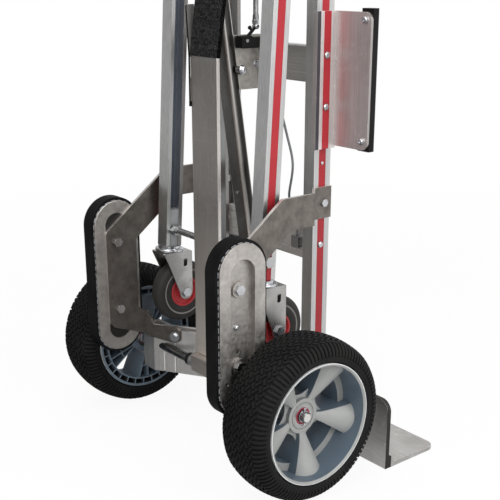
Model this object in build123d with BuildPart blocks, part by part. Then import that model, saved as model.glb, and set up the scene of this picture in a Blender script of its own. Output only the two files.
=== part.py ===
# Stair climbing hand truck: two-wheel truck with a nose plate, five-spoke
# wheels, a belt climber beside each wheel, a swing-out stabiliser on casters
# and a foot lever hinged on the axle.
# Millimetres. Origin on the floor in the middle plane, under the load face of
# the rails. X to the operator's right, Y forward over the nose, Z up.
import os
from math import asin, cos, degrees, hypot, pi, radians, sin, tan

from build123d import *

os.makedirs("parts", exist_ok=True)

# Fits
running_gap = 0.05
seat_gap = 0.1
side_gap = 0.5

# Main wheels and axle
wheel_diameter = 254.0
tyre_width = 88.0
tyre_shoulder = 12.0
tyre_shoulder_drop = 4.0
tyre_wall_drop = 16.0
tyre_bulge = 9.0
tyre_seat_diameter = 184.0
rim_lip_diameter = 188.0
rim_width = 86.0
rim_edge = 4.0
rim_wall = 2.5
rim_ring = 78.0
rim_ring_wall = 2.4
wheel_track = 465.0
hub_boss_diameter = 55.0
hub_face_recess = 40.0
hub_length = 45.0
hub_disc = 3.0
hub_disc_depth = 6.5
hub_shelf_diameter = 155.4
boss_groove_diameter = 43.0
boss_groove = 1.2
star_diameter = 84.0
star_waist = 66.0
spoke_count = 5
petal_phase = 34.8
petal_neck = 11.0
petal_tip = 51.0
petal_flare = 1.15
petal_rise = 22.5
petal_wall = 2.4
petal_skin = 3.0
petal_rib = 2.2
petal_rib_radius = 54.0
web_count = 30
bearing_diameter = 35.0
bearing_width = 12.0
axle_diameter = 16.0
axle_length = 492.0
axle_setback = 150.0
axle_pin_diameter = 3.0
axle_pin_head = 9.0
axle_washer = 2.0
washer_diameter = 28.0
spacer_diameter = 26.0

# Bolts
bolt_shank = 6.0
bolt_clearance = 0.4
hex_head = 13.0
hex_height = 4.2
nut_height = 5.0
climber_head = 16.0
pan_head = 10.5
pan_height = 3.6

# Main rails
rail_spread = 246.0
rail_width = 23.0
rail_depth = 34.0
rail_bottom = 8.0
rail_top = 1150.0
rail_web = 5.0
rail_flange = 3.5
rail_lip = 3.0
strip_width = 14.0
strip_thickness = 1.4
strip_groove = 1.6

# Cross members between the rails
cross_height = 55.0
cross_thickness = 16.0
cross_setback = 19.0
cross_wall = 3.0
cross_round = 3.0
cross_groove_width = 1.8
cross_groove_depth = 1.3
cross_groove_places = (-13.0, 4.0, 17.0)
cross_levels = {"lower": 344.0, "upper": 622.5, "top": 1060.0}

# Nose plate
nose_width = 538.0
nose_height = 117.0
nose_reach = 121.0
nose_flange = 7.0
nose_toe_root = 9.0
nose_toe_edge = 5.0
nose_bead = 11.0
nose_corner = 19.0

# Wings with their bumpers
wing_bottom = 498.0
wing_top = 700.0
wing_base_thickness = 9.0
wing_base_depth = 41.0
wing_reach = 204.0
wing_plate = 4.0
wing_plate_rise = 4.0
wing_corner = 12.0
wing_bolt_levels = (561.0, 637.0)
bumper_width = 23.0
bumper_depth = 15.0
bumper_rise = 2.0
bumper_overhang = 5.0

# Axle beam: a bow in plan, sawn from an extrusion
beam_half = 177.0
beam_bottom = 80.0
beam_height = 80.0
beam_rear = 163.0
beam_slope = 0.606
beam_flat_end = 144.0
beam_flat_middle = 35.0
beam_depth = 34.0
beam_wall = 6.0
beam_bend_shift = 8.0
beam_groove = 3.0
beam_groove_places = (17.0, 36.4)
gusset_thickness = 8.0
gusset_rise = 70.0

# Climbers
climber_setback = 223.0
climber_level = 264.0
climber_length = 267.0
climber_width = 88.0
climber_thickness = 30.0
climber_flange = 3.0
climber_flange_inset = 2.5
belt_thickness = 7.5
belt_cog = 3.0
belt_cog_count = 52
climber_recess = 44.0
climber_recess_inset = 4.0
climber_dish = 10.0
climber_boss = 24.0
boss_drop = 5.0
climber_bolt_shift = 2.5
climber_bolt_levels = (208.0, 326.0)
climber_hole = 7.0
climber_hole_drop = 34.0
flange_hole = 6.0
flange_hole_shift = 30.0
flange_hole_drop = 75.0

# Dog-leg straps
strap_thickness = 5.0
strap_width = 50.0
strap_plane = 150.0
strap_level = 413.0
strap_joggle = 26.0
strap_plate_rear = 23.0
strap_plate_front = 35.0
strap_shoulder = 80.0
strap_armpit = 61.0
strap_hip = 61.0
strap_heel = 78.0
strap_heel_cut = 11.0
strap_arm_slope = 0.77
strap_corner = 9.0
strap_end = 98.0
strap_foot_top = 41.5
strap_foot_low = 10.0
strap_foot_rise = 10.0
strap_outer_top = 64.0

# Foot lever
lever_width = 65.0
lever_thickness = 6.0
lever_rear = 151.0
lever_bend_level = 632.0
lever_bend = 8.5
lever_top = 716.0
pad_thickness = 1.5
hinge_block_depth = 24.0
hinge_block_height = 32.0
hinge_block_round = 4.0
hinge_block_offset = 3.0
hinge_tang = 6.0
hinge_tang_height = 30.0
hinge_bush_diameter = 22.0
hinge_bush_half = 54.0

# Centre strut and latch
strut_width = 36.0
strut_depth = 18.5
strut_wall = 2.5
strut_round = 2.5
strut_lean = 8.57
strut_foot = 322.0
strut_top = 745.0
strut_rear_at_foot = 71.7
strut_cap_height = 3.0
strut_bracket_width = 28.0
strut_bracket_height = 34.0
bracket_sheet = 3.0
latch_plate = 4.0
latch_x = 22.0
latch_bracket_drop = 40.0
latch_bracket_rise = 41.5
latch_bracket_lap = 7.0
latch_bracket_nose = 32.0
latch_bracket_foot = 26.0
latch_pin_diameter = 15.0
latch_pin_length = 13.0
latch_pin_drop = 9.5
latch_body_width = 16.0
latch_body_rear = 107.0
latch_body_front = 62.0
latch_body_rise = 22.5
latch_body_height = 18.0
latch_step = 2.5
trigger_thickness = 5.0
trigger_arm = 22.0
trigger_drop = 20.0
trigger_pin_diameter = 5.0
trigger_ball = 6.0
trigger_stalk = 3.0

# Release rod, cable and hand lever
rod_diameter = 8.0
rod_setback = 74.0
rod_foot_rise = 13.0
rod_eye_size = 9.0
rod_eye_neck = 12.0
rod_slot_length = 15.0
rod_slot_width = 5.6
cable_diameter = 3.8
cable_setback = 55.0
clip_x = 84.0
clip_width = 16.0
clip_height = 20.0
clip_depth = 10.0
hand_pivot_setback = 40.0
hand_pin_diameter = 6.0
hand_reach = 168.0
hand_drop = 37.0
hand_paddle_width = 34.0
hand_paddle_length = 52.0
hand_bracket_half = 12.0
hand_bracket_plate = 4.0
hand_bracket_eye = 9.0
hand_bracket_clamp = 15.0

# Handle loop
handle_diameter = 22.0
handle_wall = 2.5
handle_leg = 56.0
handle_lift = 69.0
handle_back = 95.0
handle_bend = 38.0
grip_diameter = 31.0
cap_height = 34.0
cap_margin = 3.0
cap_round = 5.0
cap_floor = 6.0
cap_tenon = 30.0

# Stabiliser frame
stab_spread = 273.4
stab_width = 26.0
stab_depth = 30.5
stab_lean = 3.49
stab_pivot_level = 1010.0
stab_pivot_setback = 95.4
stab_bottom = 312.0
stab_tail = 22.0
stab_rod_level = 341.0
stab_rod_diameter = 11.0
stab_pin_diameter = 12.0
plug_length = 62.0
stab_tie_drop = 75.0
stab_tie_diameter = 22.0
stab_tie_bore = 18.0
rod_nut = 19.0
rod_nut_inner = 11.0
rod_nut_outer = 5.5
ear_thickness = 6.0
ear_half = 34.0
ear_eye = 14.0
ear_foot = 5.0
hinge_pin_head = 20.0
hinge_pin_head_height = 4.0

# Casters
caster_ring = 48.0
caster_ring_height = 10.0
caster_ring_neck = 38.0
caster_drop = 83.0
caster_trail = 25.0
caster_diameter = 108.0
caster_width = 28.0
caster_shoulder = 9.0
caster_bead = 81.0
caster_bead_rise = 0.8
caster_core = 54.0
caster_leg = 3.0
caster_axle = 10.0
caster_nut = 17.0
caster_nut_height = 4.0
fork_gap = 2.0
fork_rear = 24.0
fork_front = 34.0
fork_eye = 13.0
fork_round = 4.0
fork_slot_width = 7.0
fork_slot_height = 13.0
fork_slot_place = (21.0, 30.0)

# Derived places
axle_level = wheel_diameter / 2
wheel_x = wheel_track / 2
rail_outer = rail_spread / 2
rail_inner = rail_outer - rail_width
rail_mid = rail_depth / 2
stab_outer = stab_spread / 2
stab_inner = stab_outer - stab_width
caster_x = stab_outer - stab_width / 2
climber_inner = strap_plane + strap_thickness
climber_outer = climber_inner + climber_thickness
lean = radians(stab_lean)
stab_length = (stab_pivot_level - stab_bottom) / cos(lean)
bolt_hole = bolt_shank + bolt_clearance
lower_level = cross_levels["lower"]
upper_level = cross_levels["upper"]
cross_back = -cross_setback - cross_thickness / 2
handle_rise = rail_top + handle_leg
handle_top = handle_rise + handle_lift
hand_level = handle_top - hand_drop
latch_mid = latch_x + latch_body_width / 2
rod_x = latch_mid
latch_body_bottom = upper_level + latch_body_rise
latch_body_top = latch_body_bottom + latch_body_height
rod_foot = latch_body_top + rod_foot_rise


def save(piece, name):
    piece.part.label = name
    export_step(piece.part, f"parts/{name}.step")


def mirrored(piece):
    with BuildPart() as other:
        mirror(piece.part, about=Plane.YZ)
    return other


def save_pair(piece, name):
    other = mirrored(piece)
    save(piece, f"{name}_right")
    save(other, f"{name}_left")


def save_group(name, *pieces):
    # separate solids that share one node
    whole = Compound(children=[solid for piece in pieces for solid in piece.part.solids()])
    whole.label = name
    export_step(whole, f"parts/{name}.step")


def rod_between(start, end, diameter, bore=0.0):
    along = Vector(*end) - Vector(*start)
    with BuildPart() as bar:
        with BuildSketch(Plane(origin=start, z_dir=along)):
            Circle(diameter / 2)
            if bore:
                Circle(bore / 2, mode=Mode.SUBTRACT)
        extrude(amount=along.length)
    return bar


def hex_bolt_x(seat, tail, y, z, head=hex_head):
    # head outside at x = seat, nut inside at x = tail
    with BuildPart() as bolt:
        for start, thick in ((seat, hex_height), (tail - nut_height, nut_height)):
            with BuildSketch(Plane.YZ.offset(start)):
                with Locations((y, z)):
                    RegularPolygon(head / 2, 6)
            extrude(amount=thick)
        with BuildSketch(Plane.YZ.offset(tail - nut_height)):
            with Locations((y, z)):
                Circle(bolt_shank / 2)
        extrude(amount=seat - tail + nut_height)
    return bolt


def pan_bolt_x(seat, tail, y, z):
    # domed round head outside at x = seat, nut inside at x = tail
    with BuildPart() as bolt:
        with BuildSketch(Plane.YZ.offset(seat)):
            with Locations((y, z)):
                Circle(pan_head / 2)
        extrude(amount=pan_height)
        fillet(bolt.edges().group_by(Axis.X)[-1], pan_height * 0.7)
        with BuildSketch(Plane.YZ.offset(tail - nut_height)):
            with Locations((y, z)):
                RegularPolygon(hex_head / 2, 6)
        extrude(amount=nut_height)
        with BuildSketch(Plane.YZ.offset(tail)):
            with Locations((y, z)):
                Circle(bolt_shank / 2)
        extrude(amount=seat - tail)
    return bolt


def drills_x(start, length, places, diameter):
    # cylinders along X at the (y, z) places, to be taken away
    with BuildPart() as drills:
        with BuildSketch(Plane.YZ.offset(start)):
            with Locations(*places):
                Circle(diameter / 2)
        extrude(amount=length)
    return drills.part


def channel(plane, length, width, depth):
    # C channel: mouth at local x = 0, grooved web at local x = width
    with BuildPart() as rail:
        with BuildSketch(plane):
            Rectangle(width, depth, align=(Align.MIN, Align.CENTER))
            with Locations((rail_lip, 0)):
                Rectangle(width - rail_web - rail_lip, depth - 2 * rail_flange,
                          align=(Align.MIN, Align.CENTER), mode=Mode.SUBTRACT)
            Rectangle(rail_lip, depth - 2 * rail_flange - 2 * rail_lip,
                      align=(Align.MIN, Align.CENTER), mode=Mode.SUBTRACT)
            with Locations((width, 0)):
                Rectangle(strip_groove, strip_width + 2 * seat_gap,
                          align=(Align.MAX, Align.CENTER), mode=Mode.SUBTRACT)
        extrude(amount=length)
    return rail


def strip(plane, length, width):
    with BuildPart() as band:
        with BuildSketch(plane):
            with Locations((width - strip_groove, 0)):
                Rectangle(strip_thickness, strip_width, align=(Align.MIN, Align.CENTER))
        extrude(amount=length)
    return band


# Main rails: channels with a red strip let into the outer face
strip_hole = pan_head + 2 * side_gap
rail_plane = Plane(origin=(rail_inner, -rail_mid, rail_bottom), x_dir=(1, 0, 0), z_dir=(0, 0, 1))
rail_length = rail_top - rail_bottom
open_bolts = [(-rail_mid, lower_level), (-rail_mid, cross_levels["top"])]
wing_bolts = [(-wing_base_depth / 2, z) for z in wing_bolt_levels]
strap_bolt = [(-rail_mid, strap_level)]
channel_right = channel(rail_plane, rail_length, rail_width, rail_depth)
with BuildPart() as main_rail:
    add(channel_right.part)
    add(drills_x(rail_outer - rail_web - 1, rail_web + 2, open_bolts + wing_bolts + strap_bolt, bolt_hole),
        mode=Mode.SUBTRACT)
save_pair(main_rail, "main_rail")

band_right = strip(rail_plane, rail_length, rail_width)
with BuildPart() as rail_strip:
    add(band_right.part)
    add(drills_x(rail_outer - rail_web, rail_web, open_bolts, strip_hole), mode=Mode.SUBTRACT)
    add(drills_x(rail_outer - rail_web, rail_web, wing_bolts + strap_bolt, bolt_hole), mode=Mode.SUBTRACT)

# Wings: base over the rail, a plate standing out sideways, a rubber bumper
wing_height = wing_top - wing_bottom
wing_base_outer = rail_outer + wing_base_thickness
wing_base_root = wing_base_outer - strip_groove
wing_plate_bottom = wing_bottom + wing_plate_rise
with BuildPart() as wing:
    with BuildSketch(Plane.XY.offset(wing_bottom)):
        with Locations((rail_outer, 0)):
            Rectangle(wing_base_thickness, wing_base_depth, align=(Align.MIN, Align.MAX))
        with Locations((wing_base_outer, -wing_base_depth / 2)):
            Rectangle(strip_groove, strip_width + 2 * seat_gap,
                      align=(Align.MAX, Align.CENTER), mode=Mode.SUBTRACT)
    extrude(amount=wing_height)
    with BuildSketch(Plane.XZ):
        with BuildLine():
            Polyline((wing_base_root, wing_plate_bottom), (wing_reach, wing_plate_bottom),
                     (wing_reach, wing_top), (wing_base_root, wing_top), close=True)
        make_face()
        fillet(vertices().group_by(Axis.X)[-1], wing_corner)
    extrude(amount=wing_plate)
    add(drills_x(rail_outer - 1, wing_base_thickness + 2, wing_bolts, bolt_hole), mode=Mode.SUBTRACT)
save_pair(wing, "wing")

wing_plane = Plane(origin=(rail_outer, -wing_base_depth / 2, wing_bottom), x_dir=(1, 0, 0), z_dir=(0, 0, 1))
wing_band = strip(wing_plane, wing_height, wing_base_thickness)
with BuildPart() as wing_strip:
    add(wing_band.part)
    add(drills_x(wing_base_root - 1, strip_groove + 2, wing_bolts, strip_hole), mode=Mode.SUBTRACT)
save_group("rail_strips", rail_strip, mirrored(rail_strip), wing_strip, mirrored(wing_strip))

with BuildPart() as bumper:
    with BuildSketch(Plane.XY.offset(wing_bottom + bumper_rise)):
        with Locations((wing_reach, 0)):
            Rectangle(bumper_width, bumper_depth, align=(Align.MAX, Align.MIN))
        fillet(vertices().group_by(Axis.Y)[-1], bumper_depth * 0.45)
    extrude(amount=wing_height - bumper_rise + bumper_overhang)
save_group("wing_bumpers", bumper, mirrored(bumper))

# Cross members: flat hollow extrusions with grooves along the rear face
for name, level in cross_levels.items():
    with BuildPart() as member:
        with BuildSketch(Plane.YZ.offset(-rail_inner)):
            with Locations((-cross_setback, level)):
                RectangleRounded(cross_thickness, cross_height, cross_round)
                Rectangle(cross_thickness - 2 * cross_wall, cross_height - 2 * cross_wall,
                          mode=Mode.SUBTRACT)
            with Locations(*[(cross_back, level + rise) for rise in cross_groove_places]):
                Rectangle(cross_groove_depth, cross_groove_width, align=(Align.MIN, Align.CENTER),
                          mode=Mode.SUBTRACT)
        extrude(amount=2 * rail_inner)
    save(member, f"cross_member_{name}")

# Nose plate: an extruded angle with a tapering toe and a bead at the heel
with BuildPart() as nose:
    with BuildSketch(Plane.YZ.offset(-nose_width / 2)):
        with BuildLine():
            Polyline((0, 0), (nose_reach, 0), (nose_reach, nose_toe_edge),
                     (nose_flange + nose_bead, nose_toe_root),
                     (nose_flange + nose_bead, nose_toe_root + nose_bead / 2),
                     (nose_flange + nose_bead / 2, nose_toe_root + nose_bead),
                     (nose_flange, nose_toe_root + nose_bead + 3.0),
                     (nose_flange, nose_height), (0, nose_height), close=True)
        make_face()
    extrude(amount=nose_width)
    fillet(nose.edges().filter_by(Axis.Y).group_by(Axis.Z)[-1], nose_corner)
    fillet(nose.edges().filter_by(Axis.Z).group_by(Axis.Y)[-1], nose_corner)
save(nose, "nose_plate")

# Axle beam: bow-shaped in plan, hollow, with rounded ribs down its rear face


def beam_y(x):
    # rear face of the bow at distance x from the middle plane
    slanted = -beam_rear + beam_slope * (beam_flat_end - x)
    return max(-beam_rear, min(slanted, -beam_rear + beam_slope * (beam_flat_end - beam_flat_middle)))


beam_middle = beam_y(beam_flat_middle)
bend_outer = beam_flat_end - beam_bend_shift
bend_inner = beam_flat_middle - beam_bend_shift
beam_angle = degrees(asin(beam_slope / hypot(1, beam_slope)))
with BuildPart() as beam:
    with BuildSketch(Plane.XY.offset(beam_bottom)):
        with BuildLine():
            Polyline((beam_half, -beam_rear), (beam_flat_end, -beam_rear), (beam_flat_middle, beam_middle),
                     (-beam_flat_middle, beam_middle), (-beam_flat_end, -beam_rear), (-beam_half, -beam_rear),
                     (-beam_half, -beam_rear + beam_depth), (-bend_outer, -beam_rear + beam_depth),
                     (-bend_inner, beam_middle + beam_depth), (bend_inner, beam_middle + beam_depth),
                     (bend_outer, -beam_rear + beam_depth), (beam_half, -beam_rear + beam_depth), close=True)
        make_face()
        offset(amount=-beam_wall, kind=Kind.INTERSECTION, mode=Mode.SUBTRACT)
        for side in (1, -1):
            with Locations((side * beam_flat_end, -beam_rear + beam_wall / 2)):
                Rectangle(beam_wall, beam_depth - beam_wall, align=(Align.CENTER, Align.MIN))
            for inset in beam_groove_places:
                x = beam_flat_end - inset
                with Locations((side * x, beam_y(x))):
                    Rectangle(beam_groove, beam_groove, rotation=-side * beam_angle, mode=Mode.SUBTRACT)
    extrude(amount=beam_height)
    with BuildSketch(Plane.YZ.offset(-beam_half - 1)):
        with Locations((-axle_setback, axle_level)):
            Circle(axle_diameter / 2 + seat_gap)
    extrude(amount=2 * beam_half + 2, mode=Mode.SUBTRACT)
save(beam, "axle_beam")


def beam_front_y(x):
    # front face of the bow, straight between its two bends
    share = (bend_outer - x) / (bend_outer - bend_inner)
    return -beam_rear + beam_depth + share * (beam_rear + beam_middle)


# Gussets: plates that carry the beam from the backs of the rails
gusset_x = (rail_inner + rail_outer) / 2
gusset_sides = (gusset_x - gusset_thickness / 2, gusset_x + gusset_thickness / 2)
with BuildPart() as gusset:
    with BuildSketch(Plane.XY.offset(beam_bottom)):
        with BuildLine():
            Polyline((gusset_sides[0], -rail_depth), (gusset_sides[1], -rail_depth),
                     (gusset_sides[1], beam_front_y(gusset_sides[1])),
                     (gusset_sides[0], beam_front_y(gusset_sides[0])), close=True)
        make_face()
    extrude(amount=gusset_rise)
save_group("axle_gussets", gusset, mirrored(gusset))

# Axle with a washer, a spacer and a cross pin at each wheel
hub_outer = wheel_x + rim_width / 2 - hub_face_recess
hub_inner = hub_outer - hub_length
axle_pin_x = hub_outer + axle_washer + axle_pin_diameter / 2 + 0.3
axle_line = (-axle_setback, axle_level)
with BuildPart() as axle:
    with BuildSketch(Plane.YZ.offset(-axle_length / 2)):
        with Locations(axle_line):
            Circle(axle_diameter / 2)
    extrude(amount=axle_length)
    chamfer(axle.edges().group_by(Axis.X)[0] + axle.edges().group_by(Axis.X)[-1], 1.2)
    with BuildSketch(Plane.XY.offset(axle_level - axle_diameter)):
        with Locations((axle_pin_x, -axle_setback), (-axle_pin_x, -axle_setback)):
            Circle(axle_pin_diameter / 2 + seat_gap)
    extrude(amount=2 * axle_diameter, mode=Mode.SUBTRACT)
save(axle, "axle")

with BuildPart() as axle_pin:
    with BuildSketch(Plane.XY.offset(axle_level - axle_diameter / 2 - axle_pin_diameter)):
        with Locations((axle_pin_x, -axle_setback)):
            Circle(axle_pin_diameter / 2)
    extrude(amount=axle_diameter + 2 * axle_pin_diameter)
    with BuildSketch(Plane.XY.offset(axle_level + axle_diameter / 2 + axle_pin_diameter / 2)):
        with Locations((axle_pin_x, -axle_setback)):
            RectangleRounded(axle_pin_diameter, axle_pin_head, axle_pin_diameter * 0.4)
    extrude(amount=axle_pin_diameter)

washer = rod_between((hub_outer + 0.1, *axle_line), (hub_outer + axle_washer, *axle_line), washer_diameter,
                     axle_diameter + 2 * seat_gap)
spacer = rod_between((beam_half, *axle_line), (hub_inner - side_gap, *axle_line), spacer_diameter,
                     axle_diameter + 2 * seat_gap)
save_group("axle_retainers", axle_pin, mirrored(axle_pin), washer, spacer, mirrored(washer), mirrored(spacer))

# Wheels: a rim with five petal spokes, bearings and a tyre
wheel_axis = Axis((wheel_x, *axle_line), (1, 0, 0))
wheel_plane = Plane(origin=(wheel_x, *axle_line), x_dir=(1, 0, 0), z_dir=(0, -1, 0))
seat_r = tyre_seat_diameter / 2
lip_r = rim_lip_diameter / 2
rim_h = rim_width / 2
barrel_r = seat_r - rim_wall
boss_r = hub_boss_diameter / 2
hub_front = rim_h - hub_face_recess
disc_front = hub_front - hub_disc_depth
disc_back = disc_front - hub_disc
petal_axis = disc_back - petal_wall


def petal_half(radius):
    # half width of a petal: narrow at the boss, wide at the rim
    share = max(0.0, (radius - boss_r) / (barrel_r - boss_r))
    return (petal_neck + (petal_tip - petal_neck) * share ** petal_flare) / 2


def petal_ridge(radius):
    # distance of a petal's ridge from the wheel's middle plane
    return hub_front + petal_rise * (radius - boss_r) / (barrel_r - boss_r)


def leaf(start, end, wall, skin):
    # petal that points up from the wheel's centre: straight flanks and a
    # front that is rounded about a line along its length
    radii = [start + (end - start) * k / 5 for k in range(6)]
    with BuildPart() as flanks:
        with BuildSketch(Plane.YZ.offset(-rim_h)):
            with BuildLine():
                left = Spline(*[(wall - petal_half(r), r) for r in radii])
                right = Spline(*[(petal_half(r) - wall, r) for r in radii])
                Line(left @ 0, right @ 0)
                Line(left @ 1, right @ 1)
            make_face()
        extrude(amount=rim_width)
    with BuildPart() as front:
        with BuildSketch(Plane.XZ):
            with BuildLine():
                Polyline((petal_axis, start), (petal_ridge(start) - skin, start),
                         (petal_ridge(end) - skin, end), (petal_axis, end), close=True)
            make_face()
        revolve(axis=Axis((petal_axis, 0, 0), (0, 0, 1)))
        with BuildSketch(Plane.YZ.offset(-rim_h)):
            with Locations((0, (start + end) / 2)):
                Rectangle(2 * petal_tip, end - start)
        extrude(amount=petal_axis + rim_h)
        add(flanks.part, mode=Mode.INTERSECT)
    return front.part


petal_angles = [-petal_phase - 360.0 / spoke_count * k for k in range(spoke_count)]
petal_turns = [Location((0, 0, 0), (angle, 0, 0)) for angle in petal_angles]
petal = leaf(boss_r * 0.7, barrel_r + rim_wall / 2, 0.0, 0.0)
petal_inside = leaf(boss_r + hub_disc, rim_ring, petal_wall, petal_skin)
with BuildPart() as petal_hollow:
    # hollow back of a petal, with a rib along it and one across
    add(petal_inside)
    with BuildSketch(Plane.YZ.offset(-rim_h)):
        Circle(rim_ring)
    extrude(amount=rim_width, mode=Mode.INTERSECT)
    with BuildSketch(Plane.YZ.offset(-rim_h)):
        Circle(petal_rib_radius + petal_rib)
        Circle(petal_rib_radius, mode=Mode.SUBTRACT)
        Rectangle(petal_rib, 2 * seat_r)
    extrude(amount=rim_width, mode=Mode.SUBTRACT)
with BuildPart() as spokes:
    with Locations(*petal_turns):
        add(petal)
    with BuildSketch(Plane.YZ.offset(-rim_h)):
        Circle(barrel_r + rim_wall / 2)
    extrude(amount=rim_width, mode=Mode.INTERSECT)
    # the frame side stays open between the ring and the rim
    with BuildSketch(Plane.YZ.offset(-rim_h)):
        Circle(lip_r)
        Circle(rim_ring, mode=Mode.SUBTRACT)
    extrude(amount=rim_h + disc_back, mode=Mode.SUBTRACT)

# scallops between the petals give the plate round the boss its star shape
star_r = star_diameter / 2
waist_r = star_waist / 2
star_gap = radians(180.0 / spoke_count) - asin(petal_half(star_r) / star_r)
scallop_place = (star_r ** 2 - waist_r ** 2) / (2 * (star_r * cos(star_gap) - waist_r))
scallop_r = scallop_place - waist_r
first_window = 90.0 - petal_phase + 180.0 / spoke_count
with BuildPart() as hub_body:
    with BuildSketch(Plane.XZ):
        with BuildLine():
            Polyline((-rim_h, lip_r), (-rim_h + rim_edge, lip_r), (-rim_h + rim_edge, seat_r),
                     (rim_h - rim_edge, seat_r), (rim_h - rim_edge, lip_r), (rim_h, lip_r),
                     (rim_h, seat_r), (rim_h - rim_wall, barrel_r), (-rim_h, barrel_r), close=True)
        make_face()
    revolve(axis=Axis.X)
    add(spokes.part)
    with BuildSketch(Plane.YZ.offset(disc_back)):
        Circle(barrel_r + rim_wall / 2)
        Circle(hub_shelf_diameter / 2, mode=Mode.SUBTRACT)
    extrude(amount=hub_disc)
    with BuildSketch(Plane.YZ.offset(disc_back)):
        Circle(star_r)
        with PolarLocations(scallop_place, spoke_count, start_angle=first_window):
            Circle(scallop_r, mode=Mode.SUBTRACT)
    extrude(amount=hub_disc)
    # ring and short webs on the frame side of the rim
    with BuildSketch(Plane.YZ.offset(-rim_h)):
        Circle(rim_ring + rim_ring_wall)
        Circle(rim_ring, mode=Mode.SUBTRACT)
        with PolarLocations((rim_ring + barrel_r + rim_ring_wall) / 2, web_count):
            Rectangle(barrel_r - rim_ring, petal_rib)
    extrude(amount=rim_h + disc_back)
    with BuildSketch(Plane.YZ.offset(hub_front)):
        Circle(boss_r)
    extrude(amount=-hub_length)
    with Locations(*petal_turns):
        add(petal_hollow.part, mode=Mode.SUBTRACT)
    with BuildSketch(Plane.YZ.offset(hub_front)):
        Circle(boss_groove_diameter / 2)
        Circle(boss_groove_diameter / 2 - boss_groove, mode=Mode.SUBTRACT)
    extrude(amount=-boss_groove, mode=Mode.SUBTRACT)
    with BuildSketch(Plane.YZ.offset(hub_front)):
        Circle((axle_diameter + bearing_diameter) / 4)
    extrude(amount=-hub_length, mode=Mode.SUBTRACT)
    for start in (hub_front, hub_front - hub_length + bearing_width):
        with BuildSketch(Plane.YZ.offset(start)):
            Circle(bearing_diameter / 2)
        extrude(amount=-bearing_width, mode=Mode.SUBTRACT)
with BuildPart() as hub:
    with Locations((wheel_x, *axle_line)):
        add(hub_body.part)
save_pair(hub, "wheel_hub")

tyre_h = tyre_width / 2
tyre_r = wheel_diameter / 2
bead_w = rim_h - rim_edge - 2 * seat_gap
foot_w = tyre_h - 1.0
foot_r = lip_r + 2.0
wall_w = tyre_h - 1.5
wall_r = tyre_r - tyre_wall_drop
bulge_r = lip_r + tyre_bulge
turn_w = tyre_h - 0.42 * tyre_shoulder
turn_r = tyre_r - 0.56 * tyre_wall_drop
crown_w = tyre_h - tyre_shoulder
crown_r = tyre_r - tyre_shoulder_drop
with BuildPart() as tyre:
    with BuildSketch(wheel_plane):
        with BuildLine():
            Polyline((foot_w, foot_r), (bead_w, lip_r + 1.0), (bead_w, seat_r), (-bead_w, seat_r),
                     (-bead_w, lip_r + 1.0), (-foot_w, foot_r))
            for side in (1, -1):
                ThreePointArc((side * foot_w, foot_r), (side * tyre_h, bulge_r), (side * wall_w, wall_r))
                ThreePointArc((side * wall_w, wall_r), (side * turn_w, turn_r), (side * crown_w, crown_r))
            ThreePointArc((-crown_w, crown_r), (0, tyre_r), (crown_w, crown_r))
        make_face()
    revolve(axis=wheel_axis)
save_pair(tyre, "wheel_tyre")

with BuildPart() as bearings:
    for start in (hub_inner, hub_outer - bearing_width):
        with BuildSketch(Plane.YZ.offset(start)):
            with Locations(axle_line):
                Circle(bearing_diameter / 2)
                Circle(axle_diameter / 2 + running_gap, mode=Mode.SUBTRACT)
        extrude(amount=bearing_width)
save_pair(bearings, "wheel_bearings")

# Climbers: a flanged oval housing with a cogged belt round its bed
climber_place = (-climber_setback, climber_level)
climber_mid = climber_length - climber_width
bed_width = climber_width - 2 * belt_thickness
flange_width = climber_width - 2 * climber_flange_inset
belt_start = climber_inner + climber_flange + side_gap
belt_width = climber_thickness - 2 * climber_flange - 2 * side_gap
climber_bolts = [(-climber_setback - climber_bolt_shift, z) for z in climber_bolt_levels]
floor_hole = [(-climber_setback - climber_bolt_shift, climber_level - climber_hole_drop)]
edge_hole = [(-climber_setback - flange_hole_shift, climber_level - flange_hole_drop)]
with BuildPart() as housing:
    for start, thick, width in ((climber_inner, climber_flange, flange_width),
                                (climber_inner, climber_thickness, bed_width - 2 * seat_gap),
                                (climber_outer - climber_flange, climber_flange, flange_width)):
        with BuildSketch(Plane.YZ.offset(start)):
            with Locations(climber_place):
                SlotCenterToCenter(climber_mid, width, rotation=90)
        extrude(amount=thick)
    with BuildSketch(Plane.YZ.offset(climber_outer)):
        with Locations(climber_place):
            SlotCenterToCenter(climber_mid - 2 * climber_recess_inset, climber_recess, rotation=90)
    extrude(amount=-climber_dish, mode=Mode.SUBTRACT)
    with BuildSketch(Plane.YZ.offset(climber_outer - climber_dish)):
        with Locations(*climber_bolts):
            Circle(climber_boss / 2)
    extrude(amount=climber_dish - boss_drop)
    add(drills_x(climber_inner - 1, climber_thickness + 2, climber_bolts, bolt_hole), mode=Mode.SUBTRACT)
    add(drills_x(climber_outer - 2 * climber_dish, 2 * climber_dish, floor_hole, climber_hole),
        mode=Mode.SUBTRACT)
    add(drills_x(climber_outer - climber_dish, 2 * climber_dish, edge_hole, flange_hole), mode=Mode.SUBTRACT)
save_pair(housing, "climber_housing")

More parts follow.
